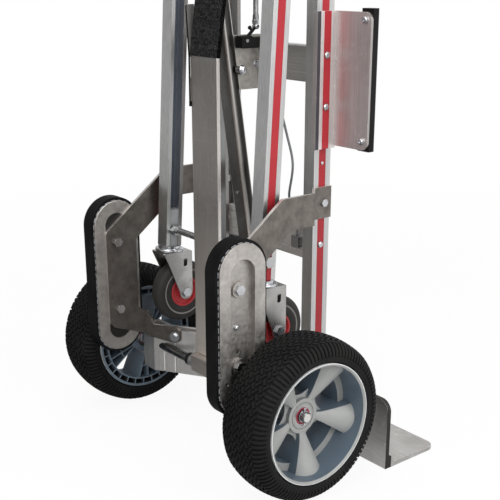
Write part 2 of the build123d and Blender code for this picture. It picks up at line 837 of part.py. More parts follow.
belt_run = 2 * climber_mid + pi * (bed_width + 2 * belt_cog) / 2 * 2
cog_pitch = belt_run / belt_cog_count
notch_r = bed_width / 2 + belt_cog / 2
notches = []
for k in range(belt_cog_count):
    run = (k + 0.5) * cog_pitch
    arc = pi * (bed_width / 2 + belt_cog)
    half = climber_mid + arc
    turn = 0.0 if run < half else 180.0
    run = run % half
    if run < climber_mid:
        spot = Vector(notch_r, run - climber_mid / 2)
        angle = 0.0
    else:
        angle = degrees((run - climber_mid) / (bed_width / 2 + belt_cog))
        spot = Vector(notch_r * cos(radians(angle)), climber_mid / 2 + notch_r * sin(radians(angle)))
    spot = spot.rotate(Axis.Z, turn)
    notches.append(Location((spot.X - climber_setback, spot.Y + climber_level, 0), (0, 0, angle + turn)))
with BuildPart() as belt:
    with BuildSketch(Plane.YZ.offset(belt_start)):
        with Locations(climber_place):
            SlotCenterToCenter(climber_mid, climber_width, rotation=90)
            SlotCenterToCenter(climber_mid, bed_width, rotation=90, mode=Mode.SUBTRACT)
        with Locations(*notches):
            Rectangle(belt_cog + 0.4, cog_pitch * 0.45, mode=Mode.SUBTRACT)
    extrude(amount=belt_width)
save_pair(belt, "climber_belt")

# Dog-leg straps: tab on the rail, joggle, plate over the climber, lower arm
# bent inwards onto the slanted face of the axle beam
strap_outer = strap_plane + strap_thickness
strap_low = strap_level - strap_width / 2
strap_high = strap_level + strap_width / 2
strap_skew = strap_thickness * hypot(1, beam_slope)
caster_side = caster_x + caster_width / 2 + 3 * side_gap


def beam_line(x):
    # slanted rear face of the beam carried on past its bend
    return -beam_rear + beam_slope * (beam_flat_end - x) - seat_gap


foot_top = axle_level + strap_foot_top
foot_low = axle_level + strap_foot_low
foot_high = axle_level + strap_outer_top
with BuildPart() as strap_foot_shape:
    with BuildSketch(Plane.XZ):
        with BuildLine():
            Polyline((strap_outer, foot_low + strap_foot_rise), (strap_outer, foot_high),
                     (strap_plane, foot_high), (caster_side, foot_top), (strap_end, foot_top),
                     (strap_end, foot_low), close=True)
        make_face()
        fillet(vertices().group_by(Axis.X)[0], strap_corner)
    extrude(amount=2 * beam_rear)
with BuildPart() as strap_foot:
    with BuildSketch(Plane.XY):
        with BuildLine():
            Polyline((strap_outer, beam_line(strap_outer)),
                     (strap_plane, beam_line(strap_plane) - strap_skew),
                     (strap_end, beam_line(strap_end) - strap_skew),
                     (strap_end, beam_line(strap_end)), close=True)
        make_face()
    extrude(amount=2 * foot_high)
    add(strap_foot_shape.part, mode=Mode.INTERSECT)
plate_rear = -climber_setback - strap_plate_rear
plate_front = -climber_setback + strap_plate_front
shoulder = climber_level + strap_shoulder
armpit = climber_level + strap_armpit
heel = climber_level - strap_heel
joggle_end = -rail_depth - strap_joggle
arm_root = joggle_end - strap_thickness
arm_top = plate_rear + (strap_high - shoulder) / strap_arm_slope
arm_low = plate_front + (strap_low - armpit) / strap_arm_slope
foot_root = beam_line(strap_outer)
with BuildPart() as strap:
    with BuildSketch(Plane.XY.offset(strap_low)):
        with BuildLine():
            Polyline((rail_outer, -1.0), (rail_outer + strap_thickness, -1.0),
                     (rail_outer + strap_thickness, -rail_depth - 1.0), (strap_outer, joggle_end),
                     (strap_outer, joggle_end - 3 * strap_thickness),
                     (strap_plane, joggle_end - 3 * strap_thickness), (strap_plane, joggle_end - 2.0),
                     (rail_outer, -rail_depth - 3.0), close=True)
        make_face()
    extrude(amount=strap_width)
    with BuildSketch(Plane.YZ.offset(strap_plane)):
        with BuildLine():
            Polyline((arm_root, strap_high), (arm_top, strap_high), (plate_rear, shoulder),
                     (plate_rear, heel), (plate_rear + strap_heel_cut, heel - strap_heel_cut),
                     (plate_front, foot_low + 2 * strap_foot_rise), (foot_root, foot_low + strap_foot_rise),
                     (foot_root, foot_high), (plate_front, climber_level - strap_hip), (plate_front, armpit),
                     (arm_low, strap_low), (arm_root, strap_low), close=True)
        make_face()
        fillet(vertices().group_by(Axis.X)[0], strap_corner)
    extrude(amount=strap_thickness)
    add(strap_foot.part)
    add(drills_x(rail_outer - 1, strap_thickness + 2, strap_bolt, bolt_hole), mode=Mode.SUBTRACT)
    add(drills_x(strap_plane - 1, strap_thickness + 2, climber_bolts, bolt_hole), mode=Mode.SUBTRACT)
save_pair(strap, "dogleg_strap")

# Foot lever: hinge block on the axle, flat plate, anti-slip pad on the bent top
lever_front = lever_rear - lever_thickness
block_bottom = axle_level - hinge_block_height / 2 + hinge_block_offset
block_top = block_bottom + hinge_block_height
lever_tilt = tan(radians(lever_bend))
with BuildPart() as hinge_block:
    with BuildSketch(Plane.YZ.offset(-lever_width / 2)):
        with Locations((-axle_setback, (block_bottom + block_top) / 2)):
            RectangleRounded(hinge_block_depth, hinge_block_height, hinge_block_round)
        with Locations((-lever_front, block_top - hinge_tang)):
            Rectangle(hinge_tang, hinge_tang + hinge_tang_height, align=(Align.MIN, Align.MIN))
    extrude(amount=lever_width)
    with BuildSketch(Plane.YZ.offset(-hinge_bush_half)):
        with Locations(axle_line):
            Circle(hinge_bush_diameter / 2)
    extrude(amount=2 * hinge_bush_half)
    with BuildSketch(Plane.YZ.offset(-hinge_bush_half - 1)):
        with Locations(axle_line):
            Circle(axle_diameter / 2 + running_gap)
    extrude(amount=2 * hinge_bush_half + 2, mode=Mode.SUBTRACT)
save(hinge_block, "lever_hinge_block")

lever_bottom = block_top + 1.0
tip_shift = (lever_top - lever_bend_level) * lever_tilt
with BuildPart() as lever:
    with BuildSketch(Plane.YZ.offset(-lever_width / 2)):
        with BuildLine():
            Polyline((-lever_rear, lever_bottom), (-lever_rear, lever_bend_level),
                     (-lever_rear + tip_shift, lever_top), (-lever_front + tip_shift, lever_top),
                     (-lever_front, lever_bend_level), (-lever_front, lever_bottom), close=True)
        make_face()
    extrude(amount=lever_width)
save(lever, "lever_plate")

pad_half = lever_width / 2 + pad_thickness
pad_low = lever_bend_level + 1.0
pad_shift = (pad_low - lever_bend_level) * lever_tilt
with BuildPart() as pad:
    with BuildSketch(Plane.YZ.offset(-pad_half)):
        with BuildLine():
            Polyline((-lever_rear - pad_thickness + pad_shift, pad_low),
                     (-lever_rear - pad_thickness + tip_shift, lever_top + pad_thickness),
                     (-lever_front + tip_shift, lever_top + pad_thickness),
                     (-lever_front + pad_shift, pad_low), close=True)
        make_face()
    extrude(amount=2 * pad_half)
    add(lever.part, mode=Mode.SUBTRACT)
save(pad, "lever_pad")

# Centre strut: a leaning tube from the lower cross member up behind the latch
strut_tilt = radians(strut_lean)
strut_up = Vector(0, -sin(strut_tilt), cos(strut_tilt))
strut_fwd = Vector(0, cos(strut_tilt), sin(strut_tilt))
strut_base = Vector(0, -strut_rear_at_foot, strut_foot) + strut_fwd * (strut_depth / 2)
strut_plane = Plane(origin=strut_base, x_dir=(1, 0, 0), z_dir=strut_up)
strut_length = (strut_top - strut_foot) / cos(strut_tilt)


def strut_front(z):
    # y of the strut's front face at height z
    return -strut_rear_at_foot - (z - strut_foot) * tan(strut_tilt) + strut_depth / cos(strut_tilt)


with BuildPart() as strut:
    with BuildSketch(strut_plane):
        RectangleRounded(strut_width, strut_depth, strut_round)
        Rectangle(strut_width - 2 * strut_wall, strut_depth - 2 * strut_wall, mode=Mode.SUBTRACT)
    extrude(amount=strut_length)
save(strut, "centre_strut")
with BuildPart() as strut_cap:
    with BuildSketch(strut_plane.offset(strut_length)):
        RectangleRounded(strut_width, strut_depth, strut_round)
    extrude(amount=strut_cap_height)
    with BuildSketch(strut_plane.offset(strut_length)):
        Rectangle(strut_width - 2 * strut_wall - 2 * seat_gap, strut_depth - 2 * strut_wall - 2 * seat_gap)
    extrude(amount=-3 * strut_cap_height)

# bracket in the gap between the lower cross member and the strut
bracket_low = lower_level - strut_bracket_height / 2
bracket_high = lower_level + strut_bracket_height / 2
with BuildPart() as strut_foot_bracket:
    for side in (1, -1):
        with BuildSketch(Plane.YZ.offset(side * strut_bracket_width / 2)):
            with BuildLine():
                Polyline((cross_back, bracket_low), (cross_back, bracket_high),
                         (strut_front(bracket_high) + seat_gap, bracket_high),
                         (strut_front(bracket_low) + seat_gap, bracket_low), close=True)
            make_face()
        extrude(amount=-side * bracket_sheet)
    with BuildSketch(Plane.XZ.offset(-cross_back)):
        with Locations((0, lower_level)):
            Rectangle(strut_bracket_width, strut_bracket_height)
    extrude(amount=bracket_sheet)

# Latch: bracket from the upper cross member, latch body, trigger
latch_low = upper_level - latch_bracket_drop
latch_high = upper_level + latch_bracket_rise
foot_half = cross_height / 2 - bracket_sheet
with BuildPart() as latch_bracket:
    with BuildSketch(Plane.YZ.offset(latch_x - latch_plate)):
        with BuildLine():
            Polyline((strut_front(latch_low) - latch_bracket_lap, latch_low),
                     (cross_back - latch_bracket_nose, latch_low),
                     (cross_back, upper_level - foot_half), (cross_back, upper_level + foot_half),
                     (cross_back - latch_bracket_nose, latch_high),
                     (strut_front(latch_high) - latch_bracket_lap, latch_high), close=True)
        make_face()
    extrude(amount=latch_plate)
    with BuildSketch(Plane.XZ.offset(-cross_back)):
        with Locations((latch_x - latch_plate, upper_level)):
            Rectangle(latch_bracket_foot, 2 * foot_half, align=(Align.MIN, Align.CENTER))
    extrude(amount=latch_plate)
save(latch_bracket, "latch_bracket")
latch_pin_level = upper_level - latch_pin_drop
with BuildPart() as latch_pin:
    with BuildSketch(Plane.YZ.offset(latch_x)):
        with Locations((strut_front(latch_pin_level) - latch_bracket_lap / 2, latch_pin_level)):
            Circle(latch_pin_diameter / 2)
    extrude(amount=latch_pin_length)
    fillet(latch_pin.edges().group_by(Axis.X)[-1], latch_pin_diameter * 0.44)
save(latch_pin, "latch_pin")

rod_eye = (-rod_setback, rod_foot)
trigger_pivot = (-rod_setback - trigger_arm, rod_foot - trigger_drop)
trigger_slot = trigger_thickness + 2 * side_gap
trigger_boss = trigger_pin_diameter + side_gap
boss_room = trigger_boss + side_gap
step_y = trigger_pivot[0] + 2 * trigger_pin_diameter
with BuildPart() as latch_body:
    with BuildSketch(Plane.YZ.offset(latch_x)):
        with BuildLine():
            Polyline((-latch_body_rear, latch_body_bottom), (-latch_body_front, latch_body_bottom),
                     (-latch_body_front, latch_body_top - latch_step), (step_y, latch_body_top - latch_step),
                     (step_y - latch_step, latch_body_top), (-latch_body_rear, latch_body_top), close=True)
        make_face()
    extrude(amount=latch_body_width)
    fillet(latch_body.edges().filter_by(Axis.X).group_by(Axis.Y)[0], latch_step)
    with BuildSketch(Plane.YZ.offset(latch_mid - trigger_slot / 2)):
        with Locations((trigger_pivot[0] - boss_room, trigger_pivot[1] - boss_room)):
            Rectangle(2 * latch_body_rear, 2 * latch_body_height, align=(Align.MIN, Align.MIN))
    extrude(amount=trigger_slot, mode=Mode.SUBTRACT)
    add(drills_x(latch_x - 1, latch_body_width + 2, [trigger_pivot], trigger_pin_diameter),
        mode=Mode.SUBTRACT)
save(latch_body, "latch_body")
trigger_pin = rod_between((latch_x, *trigger_pivot), (latch_x + latch_body_width, *trigger_pivot),
                          trigger_pin_diameter)

eye_half = rod_slot_length / 2 + trigger_pin_diameter / 2
eye_rise = rod_slot_width / 2 + trigger_pin_diameter / 2
ball_place = (rod_eye[0] - eye_half - trigger_ball, rod_eye[1] - eye_rise / 2)
with BuildPart() as trigger:
    with BuildSketch(Plane.YZ.offset(latch_mid - trigger_thickness / 2)):
        with BuildLine():
            Polyline((trigger_pivot[0] - trigger_boss, trigger_pivot[1]),
                     (trigger_pivot[0], trigger_pivot[1] - trigger_boss),
                     (trigger_pivot[0] + trigger_boss, trigger_pivot[1] - trigger_boss / 2),
                     (rod_eye[0] + eye_half, rod_eye[1] - eye_rise),
                     (rod_eye[0] + eye_half, rod_eye[1] + eye_rise),
                     (rod_eye[0] - eye_half, rod_eye[1] + eye_rise), close=True)
        make_face()
        with Locations(trigger_pivot):
            Circle(trigger_pin_diameter / 2 + running_gap, mode=Mode.SUBTRACT)
        with Locations(rod_eye):
            SlotOverall(rod_slot_length, rod_slot_width, mode=Mode.SUBTRACT)
    extrude(amount=trigger_thickness)
    with Locations((latch_mid, *ball_place)):
        Sphere(trigger_ball / 2)
    with BuildSketch(Plane(origin=(latch_mid, *ball_place), z_dir=(0, 1, -1))):
        Circle(trigger_stalk / 2)
    extrude(amount=eye_half)
save(trigger, "latch_trigger")

# Release rod with a clevis at each end
clevis_width = trigger_slot + trigger_pin_diameter
with BuildPart() as release_rod:
    with BuildSketch(Plane.XY.offset(rod_foot + rod_eye_neck)):
        with Locations((rod_x, -rod_setback)):
            Circle(rod_diameter / 2)
    extrude(amount=hand_level - rod_foot - 2 * rod_eye_neck)
    for level, away in ((rod_foot, 1), (hand_level, -1)):
        with BuildSketch(Plane.YZ.offset(rod_x - clevis_width / 2)):
            with Locations((-rod_setback, level)):
                Circle(rod_eye_size / 2)
            with Locations((-rod_setback, level + away * rod_eye_neck * 0.75)):
                Rectangle(rod_eye_size, rod_eye_neck * 1.5)
        extrude(amount=clevis_width)
        with BuildSketch(Plane.YZ.offset(rod_x - trigger_slot / 2)):
            with Locations((-rod_setback, level - away * rod_eye_neck / 3)):
                Rectangle(2 * rod_eye_size, rod_eye_neck * 2.66)
        extrude(amount=trigger_slot, mode=Mode.SUBTRACT)
        with BuildSketch(Plane.YZ.offset(rod_x - clevis_width / 2)):
            with Locations((-rod_setback, level)):
                Circle(trigger_pin_diameter / 2)
        extrude(amount=clevis_width)
save(release_rod, "release_rod")

# Handle loop on caps over the rail tops, with two grips
handle_x = (rail_inner + rail_outer) / 2
handle_r = handle_diameter / 2
handle_foot = rail_top + cap_floor
tenon_width = rail_width - rail_web - rail_lip - 2 * seat_gap
tenon_depth = rail_depth - 2 * rail_flange - 2 * seat_gap
with BuildPart() as rail_cap:
    with BuildSketch(Plane.XY.offset(rail_top)):
        with Locations((handle_x, -rail_mid)):
            RectangleRounded(rail_width + 2 * cap_margin, rail_depth, cap_round)
    extrude(amount=cap_height)
    with BuildSketch(Plane.XY.offset(rail_top)):
        with Locations((rail_inner + rail_lip + seat_gap, -rail_mid)):
            Rectangle(tenon_width, tenon_depth, align=(Align.MIN, Align.CENTER))
    extrude(amount=-cap_tenon)
    with BuildSketch(Plane.XY.offset(handle_foot)):
        with Locations((handle_x, -rail_mid)):
            Circle(handle_r + seat_gap)
    extrude(amount=cap_height, mode=Mode.SUBTRACT)
save_group("end_caps", rail_cap, mirrored(rail_cap), strut_cap)

with BuildPart() as handle:
    with BuildLine() as handle_path:
        FilletPolyline((handle_x, -rail_mid, handle_foot), (handle_x, -rail_mid, handle_rise),
                       (handle_x, -handle_back, handle_top), (-handle_x, -handle_back, handle_top),
                       (-handle_x, -rail_mid, handle_rise), (-handle_x, -rail_mid, handle_foot),
                       radius=handle_bend)
    with BuildSketch(Plane(origin=(handle_x, -rail_mid, handle_foot), z_dir=(0, 0, 1))):
        Circle(handle_r)
        Circle(handle_r - handle_wall, mode=Mode.SUBTRACT)
    sweep()
save(handle, "handle_loop")

# grips sit on the cross bar between the bends and the hand lever bracket
grip_start = handle_x - handle_bend - cap_margin
grip_gap = hand_bracket_half + 4.0
grip_bore = handle_diameter + 2 * seat_gap
right_grip = rod_between((grip_start, -handle_back, handle_top), (rod_x + grip_gap, -handle_back, handle_top),
                         grip_diameter, grip_bore)
left_grip = rod_between((-grip_start, -handle_back, handle_top), (grip_gap - rod_x, -handle_back, handle_top),
                        grip_diameter, grip_bore)
save_group("handle_grips", right_grip, left_grip)

# Hand lever that lifts the rod, on a bracket clamped to the cross bar
hand_pivot = (-hand_pivot_setback, hand_level)
bar_place = (-handle_back, handle_top)
bar_v = Vector(*bar_place)
hand_v = Vector(*hand_pivot)
along_v = (bar_v - hand_v).normalized()
side_v = Vector(-along_v.Y, along_v.X)
with BuildPart() as hand_bracket:
    for start in (rod_x - hand_bracket_half, rod_x + hand_bracket_half - hand_bracket_plate):
        with BuildSketch(Plane.YZ.offset(start)):
            with BuildLine():
                Polyline(bar_v + side_v * hand_bracket_clamp, bar_v - side_v * hand_bracket_clamp,
                         hand_v - side_v * hand_bracket_eye, hand_v + side_v * hand_bracket_eye, close=True)
            make_face()
            with Locations(hand_pivot):
                Circle(hand_bracket_eye)
                Circle(hand_pin_diameter / 2, mode=Mode.SUBTRACT)
        extrude(amount=hand_bracket_plate)
    with BuildSketch(Plane.YZ.offset(rod_x - hand_bracket_half)):
        with Locations(bar_place):
            Circle(hand_bracket_clamp)
    extrude(amount=2 * hand_bracket_half)
    with BuildSketch(Plane.YZ.offset(rod_x - hand_bracket_half)):
        with Locations(bar_place):
            Circle(handle_r + seat_gap)
    extrude(amount=2 * hand_bracket_half, mode=Mode.SUBTRACT)
save(hand_bracket, "hand_lever_bracket")
hand_pin = rod_between((rod_x - hand_bracket_half, *hand_pivot), (rod_x + hand_bracket_half, *hand_pivot),
                       hand_pin_diameter)
save_group("release_pins", trigger_pin, hand_pin)

hand_eye = hand_pin_diameter / 2 + 4.0
with BuildPart() as hand_lever:
    with BuildSketch(Plane.YZ.offset(rod_x - trigger_thickness / 2)):
        with BuildLine():
            Polyline((hand_pivot[0] + hand_eye, hand_level - hand_eye * 0.7),
                     (hand_pivot[0] + hand_eye, hand_level + hand_eye * 0.7),
                     (-hand_reach, hand_level + trigger_thickness / 2),
                     (-hand_reach, hand_level - trigger_thickness / 2),
                     (-rod_setback - rod_slot_length, hand_level - hand_eye * 0.85),
                     (-rod_setback, hand_level - hand_eye), close=True)
        make_face()
        with Locations(hand_pivot):
            Circle(hand_eye)
            Circle(hand_pin_diameter / 2 + running_gap, mode=Mode.SUBTRACT)
        with Locations((-rod_setback, hand_level)):
            SlotOverall(rod_slot_width + trigger_pin_diameter, rod_slot_width, mode=Mode.SUBTRACT)
    extrude(amount=trigger_thickness)
    with BuildSketch(Plane.XY.offset(hand_level - trigger_thickness / 2)):
        with Locations((rod_x, -hand_reach + hand_paddle_length * 0.42)):
            RectangleRounded(hand_paddle_width, hand_paddle_length, hand_paddle_width / 4)
    extrude(amount=trigger_thickness)
save(hand_lever, "hand_lever")

# Stabiliser frame: leaning channels on a top hinge, joined by a rod and a tie
stab_down = Vector(0, -sin(lean), -cos(lean))
stab_fwd = Vector(0, cos(lean), -sin(lean))
stab_pivot = Vector(0, -stab_pivot_setback, stab_pivot_level)


def stab_at(x, down, fwd=0.0):
    # point on the stabiliser: distance below the pivot along its lean
    return Vector(x, 0, 0) + stab_pivot + stab_down * down + stab_fwd * fwd


def stab_section(x, down):
    return Plane(origin=stab_at(x, down), x_dir=(1, 0, 0), z_dir=stab_down)


def x_drill(point, length, diameter):
    # cylinder along X that starts at the point
    with BuildPart() as drill:
        with BuildSketch(Plane(origin=point, x_dir=(0, 1, 0), z_dir=(1, 0, 0))):
            Circle(diameter / 2)
        extrude(amount=length)
    return drill.part


rod_down = (stab_pivot_level - stab_rod_level) / cos(lean)
stab_channel = channel(stab_section(stab_inner, -stab_tail), stab_length + stab_tail, stab_width, stab_depth)
stab_band = strip(stab_section(stab_inner, -stab_tail), stab_length + stab_tail, stab_width)
rod_hole = stab_rod_diameter + 2 * seat_gap
pin_hole = stab_pin_diameter + 2 * running_gap
nut_hole = rod_nut + 4 * side_gap
head_hole = hinge_pin_head + 4 * side_gap
with BuildPart() as stab_rail:
    add(stab_channel.part)
    add(x_drill(stab_at(stab_outer - rail_web - 1, rod_down), rail_web + 2, rod_hole), mode=Mode.SUBTRACT)
    add(x_drill(stab_at(stab_outer - rail_web - 1, 0), rail_web + 2, pin_hole), mode=Mode.SUBTRACT)
save_pair(stab_rail, "stabiliser_rail")
with BuildPart() as stab_strip:
    add(stab_band.part)
    add(x_drill(stab_at(stab_outer - rail_web, rod_down), rail_web, nut_hole), mode=Mode.SUBTRACT)
    add(x_drill(stab_at(stab_outer - rail_web, 0), rail_web, head_hole), mode=Mode.SUBTRACT)
save_group("stabiliser_strips", stab_strip, mirrored(stab_strip))

plug_width = stab_width - rail_web - rail_lip - 2 * seat_gap
plug_depth = stab_depth - 2 * rail_flange - 2 * seat_gap
with BuildPart() as foot_plug:
    with BuildSketch(stab_section(stab_inner + rail_lip + seat_gap, stab_length - plug_length)):
        Rectangle(plug_width, plug_depth, align=(Align.MIN, Align.CENTER))
    extrude(amount=plug_length)
    add(x_drill(stab_at(stab_inner, rod_down), stab_width, rod_hole), mode=Mode.SUBTRACT)
with BuildPart() as pivot_plug:
    with BuildSketch(stab_section(stab_inner + rail_lip + seat_gap, -stab_tail)):
        Rectangle(plug_width, plug_depth, align=(Align.MIN, Align.CENTER))
    extrude(amount=2 * stab_tail)
    add(x_drill(stab_at(stab_inner, 0), stab_width, pin_hole), mode=Mode.SUBTRACT)
save_group("stabiliser_plugs", foot_plug, mirrored(foot_plug), pivot_plug, mirrored(pivot_plug))

rod_end = stab_outer + rod_nut_outer
rod_place = stab_at(0, rod_down)
with BuildPart() as cross_rod:
    with BuildSketch(Plane(origin=(-rod_end, rod_place.Y, rod_place.Z), x_dir=(0, 1, 0), z_dir=(1, 0, 0))):
        Circle(stab_rod_diameter / 2)
    extrude(amount=2 * rod_end)
nuts = []
for start, thick in ((stab_inner - rod_nut_inner, rod_nut_inner), (stab_outer, rod_nut_outer)):
    with BuildPart() as nut:
        with BuildSketch(Plane(origin=(start, rod_place.Y, rod_place.Z), x_dir=(0, 1, 0), z_dir=(1, 0, 0))):
            RegularPolygon(rod_nut / 2, 6)
            Circle(stab_rod_diameter / 2, mode=Mode.SUBTRACT)
        extrude(amount=thick)
    nuts += [nut, mirrored(nut)]
save_group("stabiliser_cross_rod", cross_rod, *nuts)

tie_place = stab_at(0, stab_tie_drop)
tie = rod_between((-stab_inner, tie_place.Y, tie_place.Z), (stab_inner, tie_place.Y, tie_place.Z),
                  stab_tie_diameter, stab_tie_bore)
save(tie, "stabiliser_tie")

# Hinge ears on the backs of the main rails and the pins through them
ear_outer = stab_inner - 1.0
ear_inner = ear_outer - ear_thickness
pivot_place = (-stab_pivot_setback, stab_pivot_level)
with BuildPart() as ear:
    with BuildSketch(Plane.YZ.offset(ear_inner)):
        with BuildLine():
            Polyline((-rail_depth, stab_pivot_level - ear_half), (-rail_depth, stab_pivot_level + ear_half),
                     (-stab_pivot_setback, stab_pivot_level + ear_eye),
                     (-stab_pivot_setback, stab_pivot_level - ear_eye), close=True)
        make_face()
        with Locations(pivot_place):
            Circle(ear_eye)
            Circle(stab_pin_diameter / 2, mode=Mode.SUBTRACT)
    extrude(amount=ear_thickness)
    with BuildSketch(Plane.XZ.offset(rail_depth)):
        with Locations((rail_inner, stab_pivot_level)):
            Rectangle(rail_width, 2 * ear_half, align=(Align.MIN, Align.CENTER))
    extrude(amount=ear_foot)
with BuildPart() as hinge_pin:
    with BuildSketch(Plane.YZ.offset(ear_inner - hinge_pin_head_height)):
        with Locations(pivot_place):
            Circle(stab_pin_diameter / 2)
    extrude(amount=stab_outer - ear_inner + hinge_pin_head_height + side_gap)
    for start in (ear_inner - hinge_pin_head_height, stab_outer + side_gap):
        with BuildSketch(Plane.YZ.offset(start)):
            with Locations(pivot_place):
                Circle(hinge_pin_head / 2)
        extrude(amount=hinge_pin_head_height)
save_group("stabiliser_hinges", ear, mirrored(ear), hinge_pin, mirrored(hinge_pin))

# Casters: fixed raceway, swivelling fork, wheel with a tread and a core


def caster_plane(down):
    return Plane(origin=stab_at(caster_x, stab_length + down), x_dir=(1, 0, 0), z_dir=stab_down)


ring_r = caster_ring / 2
race = caster_ring_height * 0.55
with BuildPart() as caster_head:
    with BuildSketch(caster_plane(caster_ring_height - race)):
        Circle(ring_r)
    extrude(amount=race)
    fillet(caster_head.edges().filter_by(GeomType.CIRCLE), race * 0.4)
    with BuildSketch(caster_plane(0)):
        Circle(caster_ring_neck / 2)
    extrude(amount=caster_ring_height - race)
save_group("caster_raceways", caster_head, mirrored(caster_head))

fork_top = caster_ring_height + side_gap
fork_in = caster_width / 2 + fork_gap
fork_out = fork_in + caster_leg
fork_middle = (fork_front - fork_rear) / 2
leg_points = ((-fork_rear, -fork_top), (fork_front, -fork_top),
              (caster_trail + fork_eye, fork_eye / 3 - caster_drop), (caster_trail - fork_eye, -caster_drop),
              (fork_eye - fork_rear, -fork_top - fork_rear))
with BuildPart() as fork:
    with BuildSketch(caster_plane(fork_top)):
        with Locations((0, -fork_middle)):
            Rectangle(2 * fork_out, fork_front + fork_rear)
    extrude(amount=caster_leg)
    for side in (1, -1):
        inner = stab_at(caster_x + side * fork_in, stab_length)
        with BuildSketch(Plane(origin=inner, x_dir=stab_fwd, z_dir=(1, 0, 0))):
            with BuildLine():
                Polyline(*leg_points, close=True)
            make_face()
            with Locations((caster_trail, -caster_drop)):
                Circle(fork_eye)
                Circle(caster_axle / 2, mode=Mode.SUBTRACT)
            with Locations((fork_slot_place[0], -fork_slot_place[1])):
                RectangleRounded(fork_slot_width, fork_slot_height, fork_slot_width / 4, mode=Mode.SUBTRACT)
        extrude(amount=side * caster_leg)
    crown = [fork.edges().group_by(Axis.X)[k].sort_by(Axis.Z)[-1] for k in (0, -1)]
    fillet(crown, fork_round)
save_pair(fork, "caster_fork")

hub_point = stab_at(caster_x, stab_length + caster_drop, caster_trail)
caster_axis = Axis(hub_point, (1, 0, 0))
caster_wheel_plane = Plane(origin=hub_point, x_dir=(1, 0, 0), z_dir=(0, -1, 0))
bolt_end = fork_out + caster_nut_height
with BuildPart() as caster_bolt:
    with BuildSketch(Plane(origin=hub_point - Vector(bolt_end, 0, 0), x_dir=(0, 1, 0), z_dir=(1, 0, 0))):
        Circle(caster_axle / 2)
    extrude(amount=2 * bolt_end)
    for start in (-bolt_end, fork_out):
        with BuildSketch(Plane(origin=hub_point + Vector(start, 0, 0), x_dir=(0, 1, 0), z_dir=(1, 0, 0))):
            RegularPolygon(caster_nut / 2, 6)
        extrude(amount=caster_nut_height)
save_pair(caster_bolt, "caster_bolt")

half_w = caster_width / 2
tread_r = caster_diameter / 2
core_r = caster_core / 2
bead_r = caster_bead / 2
ring_w = half_w + caster_bead_rise
round_r = tread_r - caster_shoulder
round_w = half_w - caster_shoulder
bow = caster_shoulder * 0.3
with BuildPart() as caster_tyre:
    with BuildSketch(caster_wheel_plane):
        with BuildLine():
            Polyline((-half_w + 1.0, core_r), (half_w - 1.0, core_r), (half_w, core_r + 6.0),
                     (half_w, bead_r - 2.0), (ring_w, bead_r - 1.0), (ring_w, bead_r + 1.0),
                     (half_w, bead_r + 2.0), (half_w, round_r))
            ThreePointArc((half_w, round_r), (half_w - bow, tread_r - bow), (round_w, tread_r))
            Line((round_w, tread_r), (-round_w, tread_r))
            ThreePointArc((-round_w, tread_r), (bow - half_w, tread_r - bow), (-half_w, round_r))
            Polyline((-half_w, round_r), (-half_w, bead_r + 2.0), (-ring_w, bead_r + 1.0),
                     (-ring_w, bead_r - 1.0), (-half_w, bead_r - 2.0), (-half_w, core_r + 6.0),
                     (-half_w + 1.0, core_r))
        make_face()
    revolve(axis=caster_axis)
save_pair(caster_tyre, "caster_tyre")
core_bore = caster_axle / 2 + running_gap
core_boss = caster_axle
dish = half_w - 4.0
edge = half_w - 0.5
with BuildPart() as caster_core_piece:
    with BuildSketch(caster_wheel_plane):
        with BuildLine():
            Polyline((-half_w - 1.0, core_bore), (half_w + 1.0, core_bore), (half_w + 1.0, core_boss),
                     (dish, core_boss + 2.0), (dish, core_r - 5.0), (edge, core_r - 3.0), (edge, core_r),
                     (-edge, core_r), (-edge, core_r - 3.0), (-dish, core_r - 5.0), (-dish, core_boss + 2.0),
                     (-half_w - 1.0, core_boss), close=True)
        make_face()
    revolve(axis=caster_axis)
save_pair(caster_core_piece, "caster_core")

# Bolts of the frame and of the climbers
groove_floor = rail_outer - strip_groove
web_inside = rail_outer - rail_web
bolts = []
for seat, places in ((groove_floor, open_bolts), (wing_base_root, wing_bolts)):
    for y, z in places:
        bolts.append(pan_bolt_x(seat, web_inside, y, z))
for y, z in strap_bolt:
    bolts.append(hex_bolt_x(rail_outer + strap_thickness, web_inside, y, z))
for y, z in climber_bolts:
    bolts.append(hex_bolt_x(climber_outer - boss_drop, strap_plane, y, z, head=climber_head))
save_group("frame_bolts", *bolts, *[mirrored(bolt) for bolt in bolts])

# Grey cable from the latch down to a clip on the lower cross member
clip_top = lower_level + clip_height / 2
with BuildPart() as cable_clip:
    with BuildSketch(Plane.XZ.offset(-cross_back)):
        with Locations((clip_x, lower_level)):
            RectangleRounded(clip_width, clip_height, clip_width / 8)
    extrude(amount=clip_depth)
save_group("lower_brackets", strut_foot_bracket, cable_clip)
cable_start = Vector(latch_mid, -latch_body_front - 4.0, latch_body_bottom - side_gap)
cable_end = Vector(clip_x, cross_back - clip_depth / 2, clip_top + side_gap)
cable_span = latch_body_bottom - clip_top
cable_route = ((latch_mid + 0.2 * rail_inner, 0.22), (0.87 * rail_inner, 0.475), (0.975 * rail_inner, 0.6),
               (0.9 * rail_inner, 0.76))
cable_points = [(x, -cable_setback, latch_body_bottom - share * cable_span) for x, share in cable_route]
with BuildPart() as cable:
    with BuildLine() as cable_path:
        Spline(cable_start, *cable_points, cable_end, tangents=((0, 0, -1), (0, 0, -1)))
    with BuildSketch(Plane(origin=cable_start, z_dir=(0, 0, -1))):
        Circle(cable_diameter / 2)
    sweep()
save(cable, "latch_cable")
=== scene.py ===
# %% [markdown]
# # A stair climbing hand truck, dressed for its picture
# The solids of the truck come ready made and at their real size. This notebook gives them
# their finishes, and it adds what the solids leave out: the tread of the tyres, the belts'
# bands and cogs, low rims and beads, small fasteners and grips. Everything is in metres: X to
# the right of the person who pushes the truck, Y forward over the nose plate, Z up.

